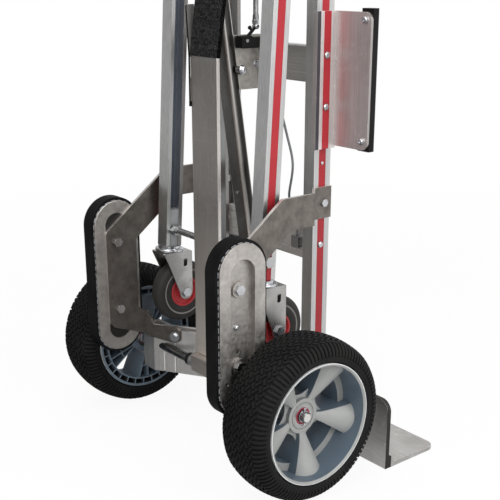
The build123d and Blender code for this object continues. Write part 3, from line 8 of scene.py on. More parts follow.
# %% Load the frame
from functools import cached_property, partial
from math import cos, pi, radians, sin, tau

import bpy
from mathutils import Matrix, Vector


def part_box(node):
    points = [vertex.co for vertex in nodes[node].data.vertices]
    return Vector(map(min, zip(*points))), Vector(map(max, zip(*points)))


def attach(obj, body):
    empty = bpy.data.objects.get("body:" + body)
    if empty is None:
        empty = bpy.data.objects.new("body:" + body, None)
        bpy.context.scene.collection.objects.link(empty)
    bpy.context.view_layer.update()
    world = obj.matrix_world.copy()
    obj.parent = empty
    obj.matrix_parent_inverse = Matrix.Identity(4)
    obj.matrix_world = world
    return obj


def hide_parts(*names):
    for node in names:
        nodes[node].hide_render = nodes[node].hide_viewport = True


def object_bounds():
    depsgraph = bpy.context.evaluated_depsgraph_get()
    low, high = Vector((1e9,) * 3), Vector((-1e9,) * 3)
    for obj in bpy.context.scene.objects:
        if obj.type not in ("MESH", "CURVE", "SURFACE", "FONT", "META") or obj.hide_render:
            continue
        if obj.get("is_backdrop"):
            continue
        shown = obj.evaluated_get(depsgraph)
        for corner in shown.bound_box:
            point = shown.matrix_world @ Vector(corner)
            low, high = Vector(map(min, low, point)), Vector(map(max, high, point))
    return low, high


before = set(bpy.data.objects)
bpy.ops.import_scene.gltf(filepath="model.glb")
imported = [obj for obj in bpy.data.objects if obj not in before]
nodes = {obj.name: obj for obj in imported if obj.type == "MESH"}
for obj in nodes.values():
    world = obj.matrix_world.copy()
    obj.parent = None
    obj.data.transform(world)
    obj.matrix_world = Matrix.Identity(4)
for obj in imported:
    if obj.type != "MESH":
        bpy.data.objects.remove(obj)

scene = bpy.context.scene
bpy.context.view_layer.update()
bpy.ops.object.select_all(action="DESELECT")

# %% [markdown]
# ## Camera
# The photograph was taken from behind the truck and from its right side, a little above the
# climbers, and it was cut out of a larger picture. A cut-out keeps the perspective of the whole
# picture, so the optical axis doesn't go through its middle. Tipping the camera would make the
# uprights lean, so the lens shift stands for the cut.

# %% Camera
camera_place = (1.20708, -1.03571, 0.75762)
camera_turn = 51.078
camera_dip = 18.794
picture_pixels = 500.0
focal_pixels = 969.39
axis_row = 299.05
sensor_mm = 36.0
bpy.ops.object.camera_add(location=camera_place,
                          rotation=(radians(90.0 - camera_dip), 0.0, radians(camera_turn)))
camera = bpy.context.object
camera.data.sensor_width = sensor_mm
camera.data.lens = sensor_mm * focal_pixels / picture_pixels
camera.data.shift_y = (axis_row - picture_pixels / 2) / picture_pixels
camera.data.clip_end = 50.0
scene.camera = camera
print("lens", round(camera.data.lens, 2), "mm, shift", round(camera.data.shift_y, 4))

# %% [markdown]
# ## Node helpers
# A finish is a small graph of nodes, which one could draw by hand in the shader editor. Here
# each helper adds one node and gives back what comes out of it, so that a finish reads as a
# short list. What comes out of a node knows its graph, so a helper finds the graph from what it
# is given. A finish is a graph with a shader and a base colour, and other colours are laid over
# that base where a mask says so.

# %% Node helpers
white = (1.0, 1.0, 1.0)
black = (0.0, 0.0, 0.0)
finishes = {}


def feed(socket, value):
    """Links a socket to what another node gives, or sets its plain value."""
    if isinstance(value, bpy.types.NodeSocket):
        socket.id_data.links.new(value, socket)
    elif socket.type == "RGBA":
        socket.default_value = (*value, 1.0)
    else:
        socket.default_value = value


class Graph:
    """A graph of nodes, with the nodes that don't follow on from others."""

    def __init__(self, tree):
        self.tree = tree

    def node(self, kind, links=None, **settings):
        made = self.tree.nodes.new("ShaderNode" + kind)
        for name, value in settings.items():
            setattr(made, name, value)
        for name, value in (links or {}).items():
            feed(made.inputs[name], value)
        return made

    def place(self, kind="Object"):
        return self.node("TexCoord").outputs[kind]

    def noise(self, scale, detail, distortion=0.0, place=None):
        links = {"Scale": scale, "Detail": detail, "Distortion": distortion, "Vector": place or self.place()}
        return self.node("TexNoise", links).outputs[0]

    def use(self, group, **values):
        """Places a node group with its own values."""
        links = {name.replace("_", " "): value for name, value in values.items()}
        return self.node("Group", links, node_tree=group).outputs


def after(kind, links, **settings):
    """Adds a node that follows on from others, in the graph that they belong to."""
    trees = [value.id_data for value in links.values() if isinstance(value, bpy.types.NodeSocket)]
    return Graph(trees[0]).node(kind, links, **settings).outputs


def compute(operation, first, second=0.0):
    return after("Math", {0: first, 1: second}, operation=operation)[0]


plus = partial(compute, "ADD")
minus = partial(compute, "SUBTRACT")
times = partial(compute, "MULTIPLY")
larger = partial(compute, "MAXIMUM")
size = partial(compute, "ABSOLUTE")


def ramp(value, low, high, to_low=0.0, to_high=1.0):
    """Goes from to_low to to_high while value goes from low to high."""
    return after("MapRange", {0: value, 1: low, 2: high, 3: to_low, 4: to_high})[0]


def blend(share, first, second, way="MIX"):
    return after("Mix", {0: share, 6: first, 7: second}, data_type="RGBA", blend_type=way)[2]


def split(vector):
    return after("SeparateXYZ", {0: vector})


def length(vector):
    return after("VectorMath", {0: vector}, operation="LENGTH")["Value"]


def distance(back, level):
    return length(after("CombineXYZ", {"Y": back, "Z": level})[0])


class Finish(Graph):
    """A material: a graph with a shader, and the base colour as far as it's mixed."""

    def __init__(self, name, **plain):
        finishes[name] = bpy.data.materials.new(name)
        finishes[name].use_nodes = True
        super().__init__(finishes[name].node_tree)
        self.shader = self.tree.nodes["Principled BSDF"]
        self.base = None
        self.shade(**plain)

    def shade(self, **values):
        """Sets or links sockets of the shader."""
        for name, value in values.items():
            feed(self.shader.inputs[name.replace("_", " ")], value)

    def lay(self, share, colour):
        """Lays a colour over the base, as much as share says."""
        self.base = blend(share, self.base, colour)
        self.shade(Base_Color=self.base)

    @cached_property
    def spot(self):
        """Where a point of the piece is, as X, Y and Z."""
        return split(self.place())

    @cached_property
    def way(self):
        """Which way the face looks there, as X, Y and Z."""
        return split(self.place("Normal"))

    @cached_property
    def out(self):
        """How far the point is from the truck's middle plane."""
        return size(self.spot["X"])

    @cached_property
    def sideways(self):
        """How much the face looks to either side."""
        return size(self.way["X"])


print("helpers", Graph.__name__, Finish.__name__)

# %% [markdown]
# ## Floor, world and lamps
# The object stands in a plain white studio. Floor and world are white where the camera looks
# at them, and softer where they only light the object, so that pale metal doesn't burn out.
# Bare metal shows what is around it. On a floor that is white all round every face would be
# the same grey, so what reflections see of the floor falls off towards the rear left, as it
# does where the light comes from the right. Rounded corners then stand out as bright lines.

# %% Floor, world and lamps
floor_size = 14.0
floor_level = -0.0006
floor_colour = (0.86, 0.86, 0.86)
floor_glow = 0.93
ambient_level = 0.5
mirrored_dark = 0.10
mirrored_far = 0.36
mirrored_bright = 1.0
diagonal = 0.707


def rays(graph):
    """Is a ray the camera's own, and does it come by way of a mirror or glass?"""
    ray = graph.node("LightPath").outputs
    return ray["Is Camera Ray"], larger(ray["Is Glossy Ray"], ray["Is Transmission Ray"])


def to_right_front(place):
    spot = split(place)
    return times(plus(spot["X"], spot["Y"]), diagonal)


bpy.ops.mesh.primitive_plane_add(size=floor_size, location=(0.0, 0.0, floor_level))
floor = bpy.context.object
floor.name = "studio_floor"
floor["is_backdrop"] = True
paint = Finish("floor_paint", Roughness=0.9, Base_Color=floor_colour)
direct, mirrored = rays(paint)
across = to_right_front(paint.place())
rear_left = ramp(across, -2.4, -0.7, mirrored_far, mirrored_dark)
right_front = ramp(across, -0.5, 0.7, 0.0, mirrored_bright - mirrored_dark)
level = ramp(mirrored, 0.0, 1.0, 1.0, plus(rear_left, right_front))
glow = after("Emission", {"Color": white, "Strength": level})
near_and_far = ramp(length(paint.place()), 0.9, 2.2, floor_glow, 1.0)
share = times(larger(direct, mirrored), near_and_far)
mixed = after("MixShader", {0: share, 1: paint.shader.outputs[0], 2: glow[0]})
feed(paint.tree.nodes["Material Output"].inputs["Surface"], mixed[0])
floor.data.materials.append(finishes["floor_paint"])

world = bpy.data.worlds.new("white_studio")
world.use_nodes = True
scene.world = world
sky = Graph(world.node_tree)
backdrop = sky.tree.nodes["Background"].inputs
direct, mirrored = rays(sky)
around = ramp(to_right_front(sky.place("Generated")), -0.75, 0.35, mirrored_far, mirrored_bright)
lit = ramp(mirrored, 0.0, 1.0, ambient_level, around)
feed(backdrop["Color"], white)
feed(backdrop["Strength"], ramp(direct, 0.0, 1.0, lit, 1.0))

# name: place, point it looks at, width, height, watts
lamps = {
    "right_softbox": ((2.3, 0.3, 1.5), (0.1, -0.1, 0.35), 1.6, 2.2, 34.0),
    "overhead_softbox": ((0.2, -0.9, 2.9), (0.0, -0.1, 0.3), 2.0, 2.0, 34.0),
    "rear_softbox": ((1.5, -2.2, 2.0), (0.0, -0.1, 0.35), 1.2, 1.2, 22.0),
}
for name, (place, target, width, height, watts) in lamps.items():
    aim = (Vector(target) - Vector(place)).to_track_quat("-Z", "Y")
    bpy.ops.object.light_add(type="AREA", location=place, rotation=aim.to_euler())
    lamp = bpy.context.object
    lamp.name = name
    lamp.data.shape = "RECTANGLE"
    lamp.data.size = width
    lamp.data.size_y = height
    lamp.data.energy = watts
scene.view_settings.view_transform = "Standard"
print("lamps", len(lamps))

# %% [markdown]
# ## Shared effects
# Most of the truck is drawn or cast aluminium. Drawn metal has fine lines along the way it was
# pulled through the die, handling leaves thin scratches, and age leaves cloudy patches. Each
# metal could have its own copy of the nodes for that. One group is built here instead, and
# each metal places it with its own values. A second group rounds the corners that the solids
# have sharp, because the highlight on a corner is what tells the eye that it is metal.
# It also gives a mask of the corners, on which the metals paint a highlight.

# %% Shared effects
scratch_width = 0.012


def new_group(name, inputs, outputs):
    """An empty node group: its graph, what goes into it and what has to come out."""
    tree = bpy.data.node_groups.new(name, "ShaderNodeTree")
    for label, kind, value in inputs:
        socket = tree.interface.new_socket(label, in_out="INPUT", socket_type="NodeSocket" + kind)
        socket.default_value = value
    for label, kind in outputs:
        tree.interface.new_socket(label, in_out="OUTPUT", socket_type="NodeSocket" + kind)
    return Graph(tree), tree.nodes.new("NodeGroupInput").outputs, tree.nodes.new("NodeGroupOutput").inputs


group, given, put = new_group(
    "metal_marks",
    (("Stretch", "Vector", (900.0, 900.0, 12.0)), ("Scratch Scale", "Float", 14.0),
     ("Cloud Scale", "Float", 9.0)),
    (("Lines", "Float"), ("Scratches", "Float"), ("Clouds", "Float")))
metal_marks = group.tree
pulled = after("VectorMath", {0: group.place(), 1: given["Stretch"]}, operation="MULTIPLY")[0]
hair = group.noise(given["Scratch Scale"], 5.0, distortion=1.6)
off_middle = size(minus(hair, 0.5))
feed(put["Lines"], group.noise(1.0, 3.0, place=pulled))
feed(put["Scratches"], ramp(off_middle, 0.0, scratch_width, 1.0, 0.0))
feed(put["Clouds"], group.noise(given["Cloud Scale"], 4.0))

group, given, put = new_group("rounded_corners", (("Radius", "Float", 0.0008),),
                              (("Corner", "Float"), ("Normal", "Vector")))
rounded_corners = group.tree
rounded = after("Bevel", {"Radius": given["Radius"]}, samples=4)[0]
flat = group.node("NewGeometry").outputs["Normal"]
match = after("VectorMath", {0: rounded, 1: flat}, operation="DOT_PRODUCT")["Value"]
# Corner marks the rounded edges, where the metals paint a highlight.
feed(put["Corner"], ramp(match, 0.999, 0.86))
feed(put["Normal"], rounded)
print("effects", metal_marks.name, rounded_corners.name)

# %% [markdown]
# ## Aluminium
# Rails, cross members, the nose plate and the lever are one metal with different histories, and
# with painted light and shade in places. Each could be a material of its own. One function makes
# them all instead, so that a change of the metal reaches every part. It takes a colour, a second
# one for cloudy patches, the way the metal was drawn and how much it is scratched. The lines go
# into the roughness and a faint bump, and rounded corners get a painted highlight, a little
# brighter than the faces.

# %% Aluminium
along_x = (14.0, 1100.0, 1100.0)
along_z = (1100.0, 1100.0, 14.0)
no_way = (160.0, 160.0, 160.0)
line_depth = 0.0004
corner_share = 0.45
corner_lift = 1.5
corner_limit = 0.92


def aluminium(name, colour, patch, drawn, roughness=0.34, scratched=0.25, corner=0.0007, bump=0.05,
              cloud_scale=9.0, metallic=1.0):
    made = Finish(name, Metallic=metallic)
    marks = made.use(metal_marks, Stretch=drawn, Cloud_Scale=cloud_scale)
    corners = made.use(rounded_corners, Radius=corner)
    cloud = ramp(marks["Clouds"], 0.38, 0.64)
    streak = ramp(marks["Lines"], 0.3, 0.7, 0.86, 1.12)
    made.base = blend(1.0, blend(cloud, colour, patch), streak, "MULTIPLY")
    # Scratches are wear; the corner mask lays a painted highlight.
    light = larger(times(marks["Scratches"], scratched), times(corners["Corner"], corner_share))
    made.lay(light, [min(corner_limit, channel * corner_lift) for channel in colour])
    rough = ramp(marks["Lines"], 0.25, 0.75, roughness - 0.07, roughness + 0.09)
    relief = after("Bump", {"Strength": bump, "Distance": line_depth, "Height": marks["Lines"],
                            "Normal": corners["Normal"]})
    made.shade(Roughness=plus(rough, times(cloud, 0.06)), Normal=relief[0])
    return made


aluminium("cross_aluminium", (0.76, 0.75, 0.74), (0.66, 0.65, 0.64), along_x)
aluminium("cross_aluminium_low", (0.84, 0.81, 0.78), (0.76, 0.73, 0.70), along_x, metallic=0.75)
aluminium("beam_aluminium", (0.80, 0.77, 0.75), (0.62, 0.60, 0.58), along_z, metallic=0.85)
# The beads take a paler copy of the metal: a painted highlight.
aluminium("bead_aluminium", (0.95, 0.94, 0.92), (0.86, 0.85, 0.83), along_z, metallic=0.25)
aluminium("bracket_aluminium", (0.41, 0.39, 0.36), (0.36, 0.34, 0.315), no_way, 0.42)
aluminium("side_plate_aluminium", (0.74, 0.72, 0.70), (0.66, 0.64, 0.62), along_z)
aluminium("handle_aluminium", (0.78, 0.78, 0.78), (0.70, 0.70, 0.70), along_x, 0.3)
print("finishes", *finishes)

# %% [markdown]
# Wings, straps and castings need a second colour in places. The flange of a wing gets a dark
# painted shade along its back, and its cut edge is dull. A strap was sheared from a dark strip, so
# its edges are bright. The recess on the inner side of a climber gets a nearly black painted
# shade. One could paint these by hand. A mask that follows from the place and the direction of
# the face stays sharp and exact.

# %% Wings, straps and castings
wing_low, wing_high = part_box("wing_right")
flange_back = wing_low.y + 0.0066
flange_cut = wing_high.x - 0.012
metal = aluminium("wing_aluminium", (0.75, 0.70, 0.69), (0.68, 0.63, 0.62), along_z, 0.43)
flank = ramp(metal.sideways, 0.4, 0.8)
# Painted shade: the side face along the back of the flange is made nearly black.
painted_flange_shade = ramp(metal.spot["Y"], flange_back + 0.0003, flange_back)
metal.lay(times(painted_flange_shade, flank), (0.085, 0.08, 0.092))
cut = ramp(metal.out, flange_cut, flange_cut + 0.001)
metal.lay(times(cut, flank), (0.38, 0.36, 0.35))

metal = aluminium("strap_aluminium", (0.195, 0.177, 0.160), (0.140, 0.128, 0.115), no_way, 0.45, 0.12,
                  cloud_scale=55.0)
metal.lay(ramp(metal.sideways, 0.2, 0.05), (0.66, 0.63, 0.60))

housing_low, housing_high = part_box("climber_housing_right")
housing_middle = (housing_low + housing_high) / 2
housing_radius = (housing_high.y - housing_low.y) / 2
housing_straight = (housing_high.z - housing_low.z) / 2 - housing_radius
recess_edge = housing_radius - 0.0195
metal = aluminium("cast_aluminium", (0.48, 0.455, 0.43), (0.39, 0.37, 0.35), no_way, 0.44, 0.12, bump=0.16,
                  cloud_scale=26.0)
level = size(minus(metal.spot["Z"], housing_middle.z))
past_straight = larger(minus(level, housing_straight), 0.0)
reach = distance(minus(metal.spot["Y"], housing_middle.y), past_straight)
# Painted shade: the recess inside the rim on the inner face is made nearly black.
pocket = ramp(reach, recess_edge, recess_edge - 0.002)
inner = ramp(metal.out, housing_low.x + 0.0004, housing_low.x + 0.0001)
metal.lay(times(pocket, inner), (0.05, 0.048, 0.046))
print("flange from", round(flange_back, 4), "recess", round(recess_edge, 4))

# %% [markdown]
# The rails and the strut take the same metal and the same kind of masks. The rails' sides get a
# painted shade that makes them darker than their backs, their lower ends are darker than their
# tops, and the inside of a channel gets a bluish painted shade. Faces that look inwards lie in
# shade where they are in front of the stabiliser's middle line. The strut's rounded corners get a
# painted highlight and its flat sides a painted shade that is nearly black.

# %% Rails and strut
channel_inside = 0.125
stabiliser_slope = 0.061
stabiliser_line = -0.152
metal = aluminium("rail_aluminium", (0.82, 0.82, 0.81), (0.74, 0.74, 0.745), along_z)
# Painted shade on faces that look sideways; the rail is also darker towards the bottom.
painted_side_shade = ramp(metal.sideways, 0.5, 0.9, 0.0, 0.33)
low = ramp(metal.spot["Z"], 0.5, 0.3, 0.0, 0.28)
metal.lay(larger(painted_side_shade, low), black)
inward = ramp(times(metal.spot["X"], metal.way["X"]), -0.02, -0.08)
forward = minus(metal.spot["Y"], times(metal.spot["Z"], stabiliser_slope))
shaded = ramp(forward, stabiliser_line, stabiliser_line + 0.004)
metal.lay(times(inward, shaded), (0.24, 0.23, 0.225))
# Painted shade, bluish dark, on the inside of the channel.
deep = ramp(metal.out, channel_inside - 0.0005, channel_inside)
metal.lay(times(inward, deep), (0.15, 0.17, 0.21))

metal = aluminium("strut_aluminium", (0.30, 0.285, 0.275), (0.24, 0.23, 0.22), along_z, 0.3)
# Painted shade, nearly black, on the strut's flat sides; a painted highlight on its rounded corners.
metal.lay(ramp(metal.sideways, 0.9, 0.99), (0.06, 0.057, 0.055))
corner = times(ramp(metal.sideways, 0.1, 0.3), ramp(metal.sideways, 0.95, 0.75))
metal.lay(corner, (0.95, 0.91, 0.87))
print("channels are dark from", channel_inside, "outwards")

# %% [markdown]
# The nose plate is rubbed dull by the loads that slide on it, and the sawn ends and the rim of
# its upright leg are dark. The lever gets painted light that makes it paler near the axle, is
# grey-brown and darker higher up, and gets a painted highlight on its sides. Its hinge block is
# a warm grey, with cooler cheeks and dark rings. All of it follows from the place on the piece, so
# masks do for these too.

# %% Nose plate, lever and hinge
nose_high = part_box("nose_plate")[1]
heel_depth = 0.0125
heel_top = 0.02
metal = aluminium("nose_aluminium", (0.56, 0.545, 0.53), (0.40, 0.385, 0.37), along_x, 0.42, 0.5)
end = ramp(metal.out, nose_high.x - 0.0012, nose_high.x - 0.0004)
rim = times(ramp(size(metal.way["Y"]), 0.6, 0.3), ramp(metal.spot["Z"], heel_top, heel_top + 0.004))
upright = ramp(metal.spot["Y"], heel_depth + 0.0004, heel_depth)
metal.lay(times(larger(end, rim), upright), (0.05, 0.048, 0.046))

lever_low, lever_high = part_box("lever_plate")
metal = aluminium("lever_aluminium", (0.52, 0.49, 0.465), (0.45, 0.425, 0.40), along_z, 0.36, corner=0.0022)
# Painted light near the axle, darker higher up, and a painted highlight on the lever's sides.
low = ramp(metal.spot["Z"], lever_low.z + 0.26, lever_low.z + 0.02)
metal.lay(low, (0.95, 0.87, 0.80))
metal.lay(ramp(metal.spot["Z"], lever_low.z + 0.36, lever_low.z + 0.46, 0.0, 0.24), black)
metal.lay(ramp(metal.sideways, 0.3, 0.6), (0.86, 0.82, 0.78))
metal.shade(Metallic=ramp(low, 0.0, 1.0, 1.0, 0.9))

block_half = 0.0325
ring_inside = 0.0455
metal = aluminium("hinge_aluminium", (0.62, 0.575, 0.53), (0.52, 0.48, 0.44), along_x, 0.4)
metal.lay(ramp(metal.out, block_half, block_half + 0.0004), (0.46, 0.46, 0.465))
metal.lay(ramp(metal.out, ring_inside, ring_inside + 0.0003), (0.05, 0.05, 0.05))
print("finishes", len(finishes))

# %% [markdown]
# ## Zinc, chrome and steel
# Bolts, rods and the caster forks are zinc plated: a bright metal with a bluish cloudiness.
# Chrome is smoother and cleaner, and oiled steel is dark. Plain colours would look new and
# strange beside the aluminium, so all of them use its clouds, and those with broad edges have
# its worn corners.

# %% Zinc and chrome


def plated(name, colour, tint, roughness, cloud_scale=60.0, corner=0.0):
    made = Finish(name, Metallic=1.0)
    clouds = made.use(metal_marks, Cloud_Scale=cloud_scale)["Clouds"]
    made.shade(Base_Color=blend(ramp(clouds, 0.36, 0.66), colour, tint),
               Roughness=ramp(clouds, 0.3, 0.7, roughness - 0.05, roughness + 0.08))
    if corner:
        made.shade(Normal=made.use(rounded_corners, Radius=corner)["Normal"])


plated("zinc_plate", (0.58, 0.59, 0.61), (0.50, 0.51, 0.53), 0.22, corner=0.0005)
plated("rod_zinc", (0.50, 0.505, 0.51), (0.44, 0.445, 0.45), 0.2)
plated("fork_zinc", (0.46, 0.455, 0.44), (0.35, 0.345, 0.335), 0.27, 34.0, 0.0014)
plated("clip_steel", (0.07, 0.07, 0.075), (0.05, 0.05, 0.055), 0.3)
plated("chrome_plate", (0.74, 0.75, 0.77), (0.62, 0.63, 0.66), 0.09)
plated("rod_steel", (0.22, 0.22, 0.22), (0.14, 0.14, 0.14), 0.32)
print("finishes", len(finishes))

# %% [markdown]
# ## Plastic and rubber
# Plastic and rubber aren't flat colours either. A fine grain breaks up their sheen, and some
# places look handled and others fresh. A picture could be wrapped round them, but noise has no
# seams. The red strips fade to a darker red towards the floor.

# %% Plastic and rubber
grain_depth = 0.0006
moulded_corner = 0.0008


def moulded(name, colour, second, roughness, grain=900.0, depth=0.12, shine=0.3):
    made = Finish(name, Specular_IOR_Level=shine)
    slow = made.noise(22.0, 4.0)
    made.base = blend(ramp(slow, 0.35, 0.65), colour, second)
    corners = made.use(rounded_corners, Radius=moulded_corner)
    relief = after("Bump", {"Strength": depth, "Distance": grain_depth, "Height": made.noise(grain, 2.0),
                            "Normal": corners["Normal"]})
    made.shade(Base_Color=made.base, Normal=relief[0],
               Roughness=ramp(slow, 0.3, 0.7, roughness - 0.06, roughness + 0.08))
    return made


moulded("belt_rubber", (0.005, 0.005, 0.0055), (0.009, 0.009, 0.0095), 0.5, 700.0, 0.2, 0.06)
moulded("tyre_rubber", (0.010, 0.010, 0.0105), (0.016, 0.0155, 0.015), 0.55, 800.0, 0.25, 0.06)
moulded("bumper_rubber", (0.007, 0.006, 0.0065), (0.011, 0.0095, 0.01), 0.42, 600.0, 0.1, 0.1)
moulded("black_plastic", (0.005, 0.005, 0.005), (0.008, 0.008, 0.008), 0.4, shine=0.12)
moulded("grip_rubber", (0.009, 0.009, 0.009), (0.014, 0.014, 0.014), 0.6, 900.0, 0.3, 0.1)
moulded("plug_grey", (0.36, 0.365, 0.375), (0.31, 0.315, 0.325), 0.5)
moulded("cable_sheath", (0.17, 0.175, 0.185), (0.14, 0.145, 0.155), 0.5)
# The cogs are grey, made paler with painted light against the shade of the band and flange.
moulded("cog_rubber", (0.33, 0.345, 0.37), (0.25, 0.26, 0.28), 0.5, shine=0.2)
moulded("caster_red", (0.46, 0.04, 0.045), (0.38, 0.03, 0.035), 0.36)
plastic = moulded("red_strip", (0.405, 0.0235, 0.033), (0.37, 0.02, 0.029), 0.36, 300.0, 0.04)
plastic.lay(ramp(plastic.spot["Z"], 0.6, 0.3, 0.0, 0.14), black)
print("finishes", len(finishes))

# %% [markdown]
# The wheel hub is one moulding in light grey. Its barrel and the flanks of the spokes, which
# face away from the wheel's axis, are blue-grey in the photograph; here that is a painted shade,
# and faces that look inwards get a bluer painted shade. The depth of the barrel gets a nearly
# black painted shade, and the thin lip is pale. The direction of the face and its distance from
# the axle tell which is which. The distance also tells the red seal of a bearing from its steel
# races, and the axle's bright turned end from its darker shank.

# %% Wheel hub, bearings and axle
wheel_low, wheel_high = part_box("wheel_tyre_right")
wheel_centre = (wheel_low + wheel_high) / 2
wheel_radius = (wheel_high.z - wheel_low.z) / 2
hub_grey = (0.33, 0.335, 0.325)
hub_shade_blue = (0.115, 0.152, 0.19)
hub_inward_shade = (0.135, 0.175, 0.215)
hub_shade = (0.028, 0.028, 0.030)
hub_corner = 0.0012
boss_radius = 0.026
shade_edge = 0.226
shade_radius = 0.0815
lip_white = (0.70, 0.71, 0.71)
lip_inside = 0.0931


def axle_distance(finish, centre=wheel_centre):
    """How far a point is from the line along X through centre."""
    return distance(minus(finish.spot["Y"], centre.y), minus(finish.spot["Z"], centre.z))


plastic = Finish("hub_grey", Coat_Weight=0.1, Coat_Roughness=0.3, Specular_IOR_Level=0.35)
radius = axle_distance(plastic)
slow = plastic.noise(18.0, 4.0)
# Painted shade: blue-grey away from the axle, bluer on inward faces, near black in the depth.
flank = times(ramp(plastic.sideways, 0.55, 0.25), ramp(radius, boss_radius, boss_radius + 0.008))
plastic.base = blend(flank, hub_grey, hub_shade_blue)
inward = ramp(times(plastic.spot["X"], plastic.way["X"]), -0.03, -0.09)
plastic.lay(inward, hub_inward_shade)
behind = times(ramp(plastic.out, shade_edge, shade_edge - 0.004),
               ramp(radius, shade_radius, shade_radius + 0.0015))
plastic.lay(times(behind, flank), hub_shade)
lip = times(ramp(radius, lip_inside - 0.0003, lip_inside), ramp(inward, 1.0, 0.0))
plastic.lay(lip, lip_white)
clouded = blend(1.0, plastic.base, ramp(slow, 0.3, 0.7, 0.9, 1.08), "MULTIPLY")
plastic.shade(Base_Color=clouded, Roughness=ramp(slow, 0.3, 0.7, 0.36, 0.5),
              Normal=plastic.use(rounded_corners, Radius=hub_corner)["Normal"])

seal_inside = 0.0092
seal_outside = 0.0134
seal_blur = 0.0002
metal = Finish("bearing")
radius = axle_distance(metal)
sealed = times(ramp(radius, seal_inside - seal_blur, seal_inside),
               ramp(radius, seal_outside + seal_blur, seal_outside))
slow = metal.noise(90.0, 3.0)
steel = blend(slow, (0.42, 0.42, 0.42), (0.58, 0.58, 0.59))
red = blend(slow, (0.24, 0.022, 0.042), (0.31, 0.030, 0.052))
metal.shade(Base_Color=blend(sealed, steel, red), Metallic=ramp(sealed, 0.0, 1.0, 1.0, 0.0),
            Roughness=ramp(slow, 0.3, 0.7, 0.26, 0.4))

face_radius = 0.0068
metal = Finish("axle_steel", Metallic=1.0)
clouds = metal.use(metal_marks, Cloud_Scale=60.0)["Clouds"]
metal.base = blend(clouds, (0.27, 0.275, 0.28), (0.19, 0.195, 0.20))
face = ramp(axle_distance(metal), face_radius, face_radius - 0.0004)
metal.lay(times(face, ramp(metal.sideways, 0.8, 0.9)), (0.88, 0.86, 0.83))
metal.shade(Roughness=ramp(clouds, 0.3, 0.7, 0.16, 0.3))
print("wheel radius", round(wheel_radius, 4))

# %% [markdown]
# The tread of a caster is moulded on in grey, with a pale ring where the mould closed. Its
# distance from the caster's own axle tells where that ring is.

# %% Caster tread
caster_low, caster_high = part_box("caster_tyre_right")
caster_centre = (caster_low + caster_high) / 2
ring_from = 0.0385
ring_to = 0.0414
ring_blur = 0.0004
plastic = moulded("caster_tread", (0.036, 0.0345, 0.033), (0.028, 0.027, 0.0255), 0.5, shine=0.14)
radius = axle_distance(plastic, caster_centre)
ring = times(ramp(radius, ring_from, ring_from + ring_blur), ramp(radius, ring_to, ring_to - ring_blur))
plastic.lay(ring, (0.22, 0.21, 0.20))
print("ring", ring_from, "to", ring_to)

# %% [markdown]
# The foot pad has a black grit surface, a little mottled where the grit lies in clumps. Grains
# that catch the light are bright dots, more of them along its corners, where the grit stands
# out. Cells of a Voronoi pattern are the grains, because each cell has its own random colour.

# %% Foot pad grit
pad = Finish("pad_grit", Specular_IOR_Level=0.06, Roughness=0.72)
grains = after("TexVoronoi", {"Vector": pad.place(), "Scale": 480.0})
clumps = ramp(pad.noise(330.0, 5.0), 0.4, 0.62)
pad.base = blend(clumps, (0.006, 0.006, 0.006), (0.030, 0.030, 0.030))
chosen = larger(ramp(grains["Color"], 0.72, 0.8), pad.use(rounded_corners, Radius=0.0014)["Corner"])
glint = times(ramp(grains["Distance"], 0.22, 0.1), chosen)
pad.lay(glint, (0.24, 0.24, 0.24))
relief = after("Bump", {"Strength": 0.5, "Distance": grain_depth, "Height": grains["Distance"]})
pad.shade(Normal=relief[0])
print("finishes", len(finishes))

# %% [markdown]
# ## Finishes on the solids
# Each solid takes its finish by name. One could pick the pieces one by one, but a table shows
# at a glance what is made of what. A name that comes in a right and a left piece is written
# once, and the loop finds both.

# %% Finishes on the solids
wears = {
    "rail_aluminium": "main_rail stabiliser_rail stabiliser_tie",
    "cross_aluminium": "cross_member_upper cross_member_top",
    "cross_aluminium_low": "cross_member_lower",
    "wing_aluminium": "wing",
    "nose_aluminium": "nose_plate",
    "beam_aluminium": "axle_beam axle_gussets",
    "hinge_aluminium": "lever_hinge_block",
    "strut_aluminium": "centre_strut",
    "bracket_aluminium": "latch_bracket",
    "handle_aluminium": "handle_loop",
    "strap_aluminium": "dogleg_strap",
    "cast_aluminium": "climber_housing",
    "lever_aluminium": "lever_plate",
    "zinc_plate": "frame_bolts lower_brackets stabiliser_hinges caster_raceways caster_bolt "
                  "release_pins axle_retainers hand_lever_bracket",
    "rod_zinc": "stabiliser_cross_rod",
    "fork_zinc": "caster_fork",
    "axle_steel": "axle",
    "chrome_plate": "latch_pin",
    "rod_steel": "release_rod",
    "red_strip": "rail_strips stabiliser_strips",
    "belt_rubber": "climber_belt",
    "tyre_rubber": "wheel_tyre",
    "hub_grey": "wheel_hub",
    "bearing": "wheel_bearings",
    "bumper_rubber": "wing_bumpers",
    "black_plastic": "end_caps latch_body latch_trigger hand_lever",
    "grip_rubber": "handle_grips",
    "pad_grit": "lever_pad",
    "plug_grey": "stabiliser_plugs",
    "cable_sheath": "latch_cable",
    "caster_tread": "caster_tyre",
    "caster_red": "caster_core",
}
dressed = set()
for finish, stems in wears.items():
    for stem in stems.split():
        for name in (stem, stem + "_right", stem + "_left"):
            if name in nodes:
                nodes[name].data.materials.clear()
                nodes[name].data.materials.append(finishes[finish])
                dressed.add(name)
print("bare solids", sorted(set(nodes) - dressed))

# %% [markdown]
# ## Modelling by hand, in code
# The pieces below are modelled as one would by hand: add a primitive, open it in edit mode,
# pick some of its points, pull, narrow or bevel them, and copy the result. These helpers do
# the steps that come back in every piece, and the last one hands a piece to its body.

# %% Modelling helpers


def start_fresh():
    if bpy.context.mode != "OBJECT":
        bpy.ops.object.mode_set(mode="OBJECT")
    bpy.ops.object.select_all(action="DESELECT")


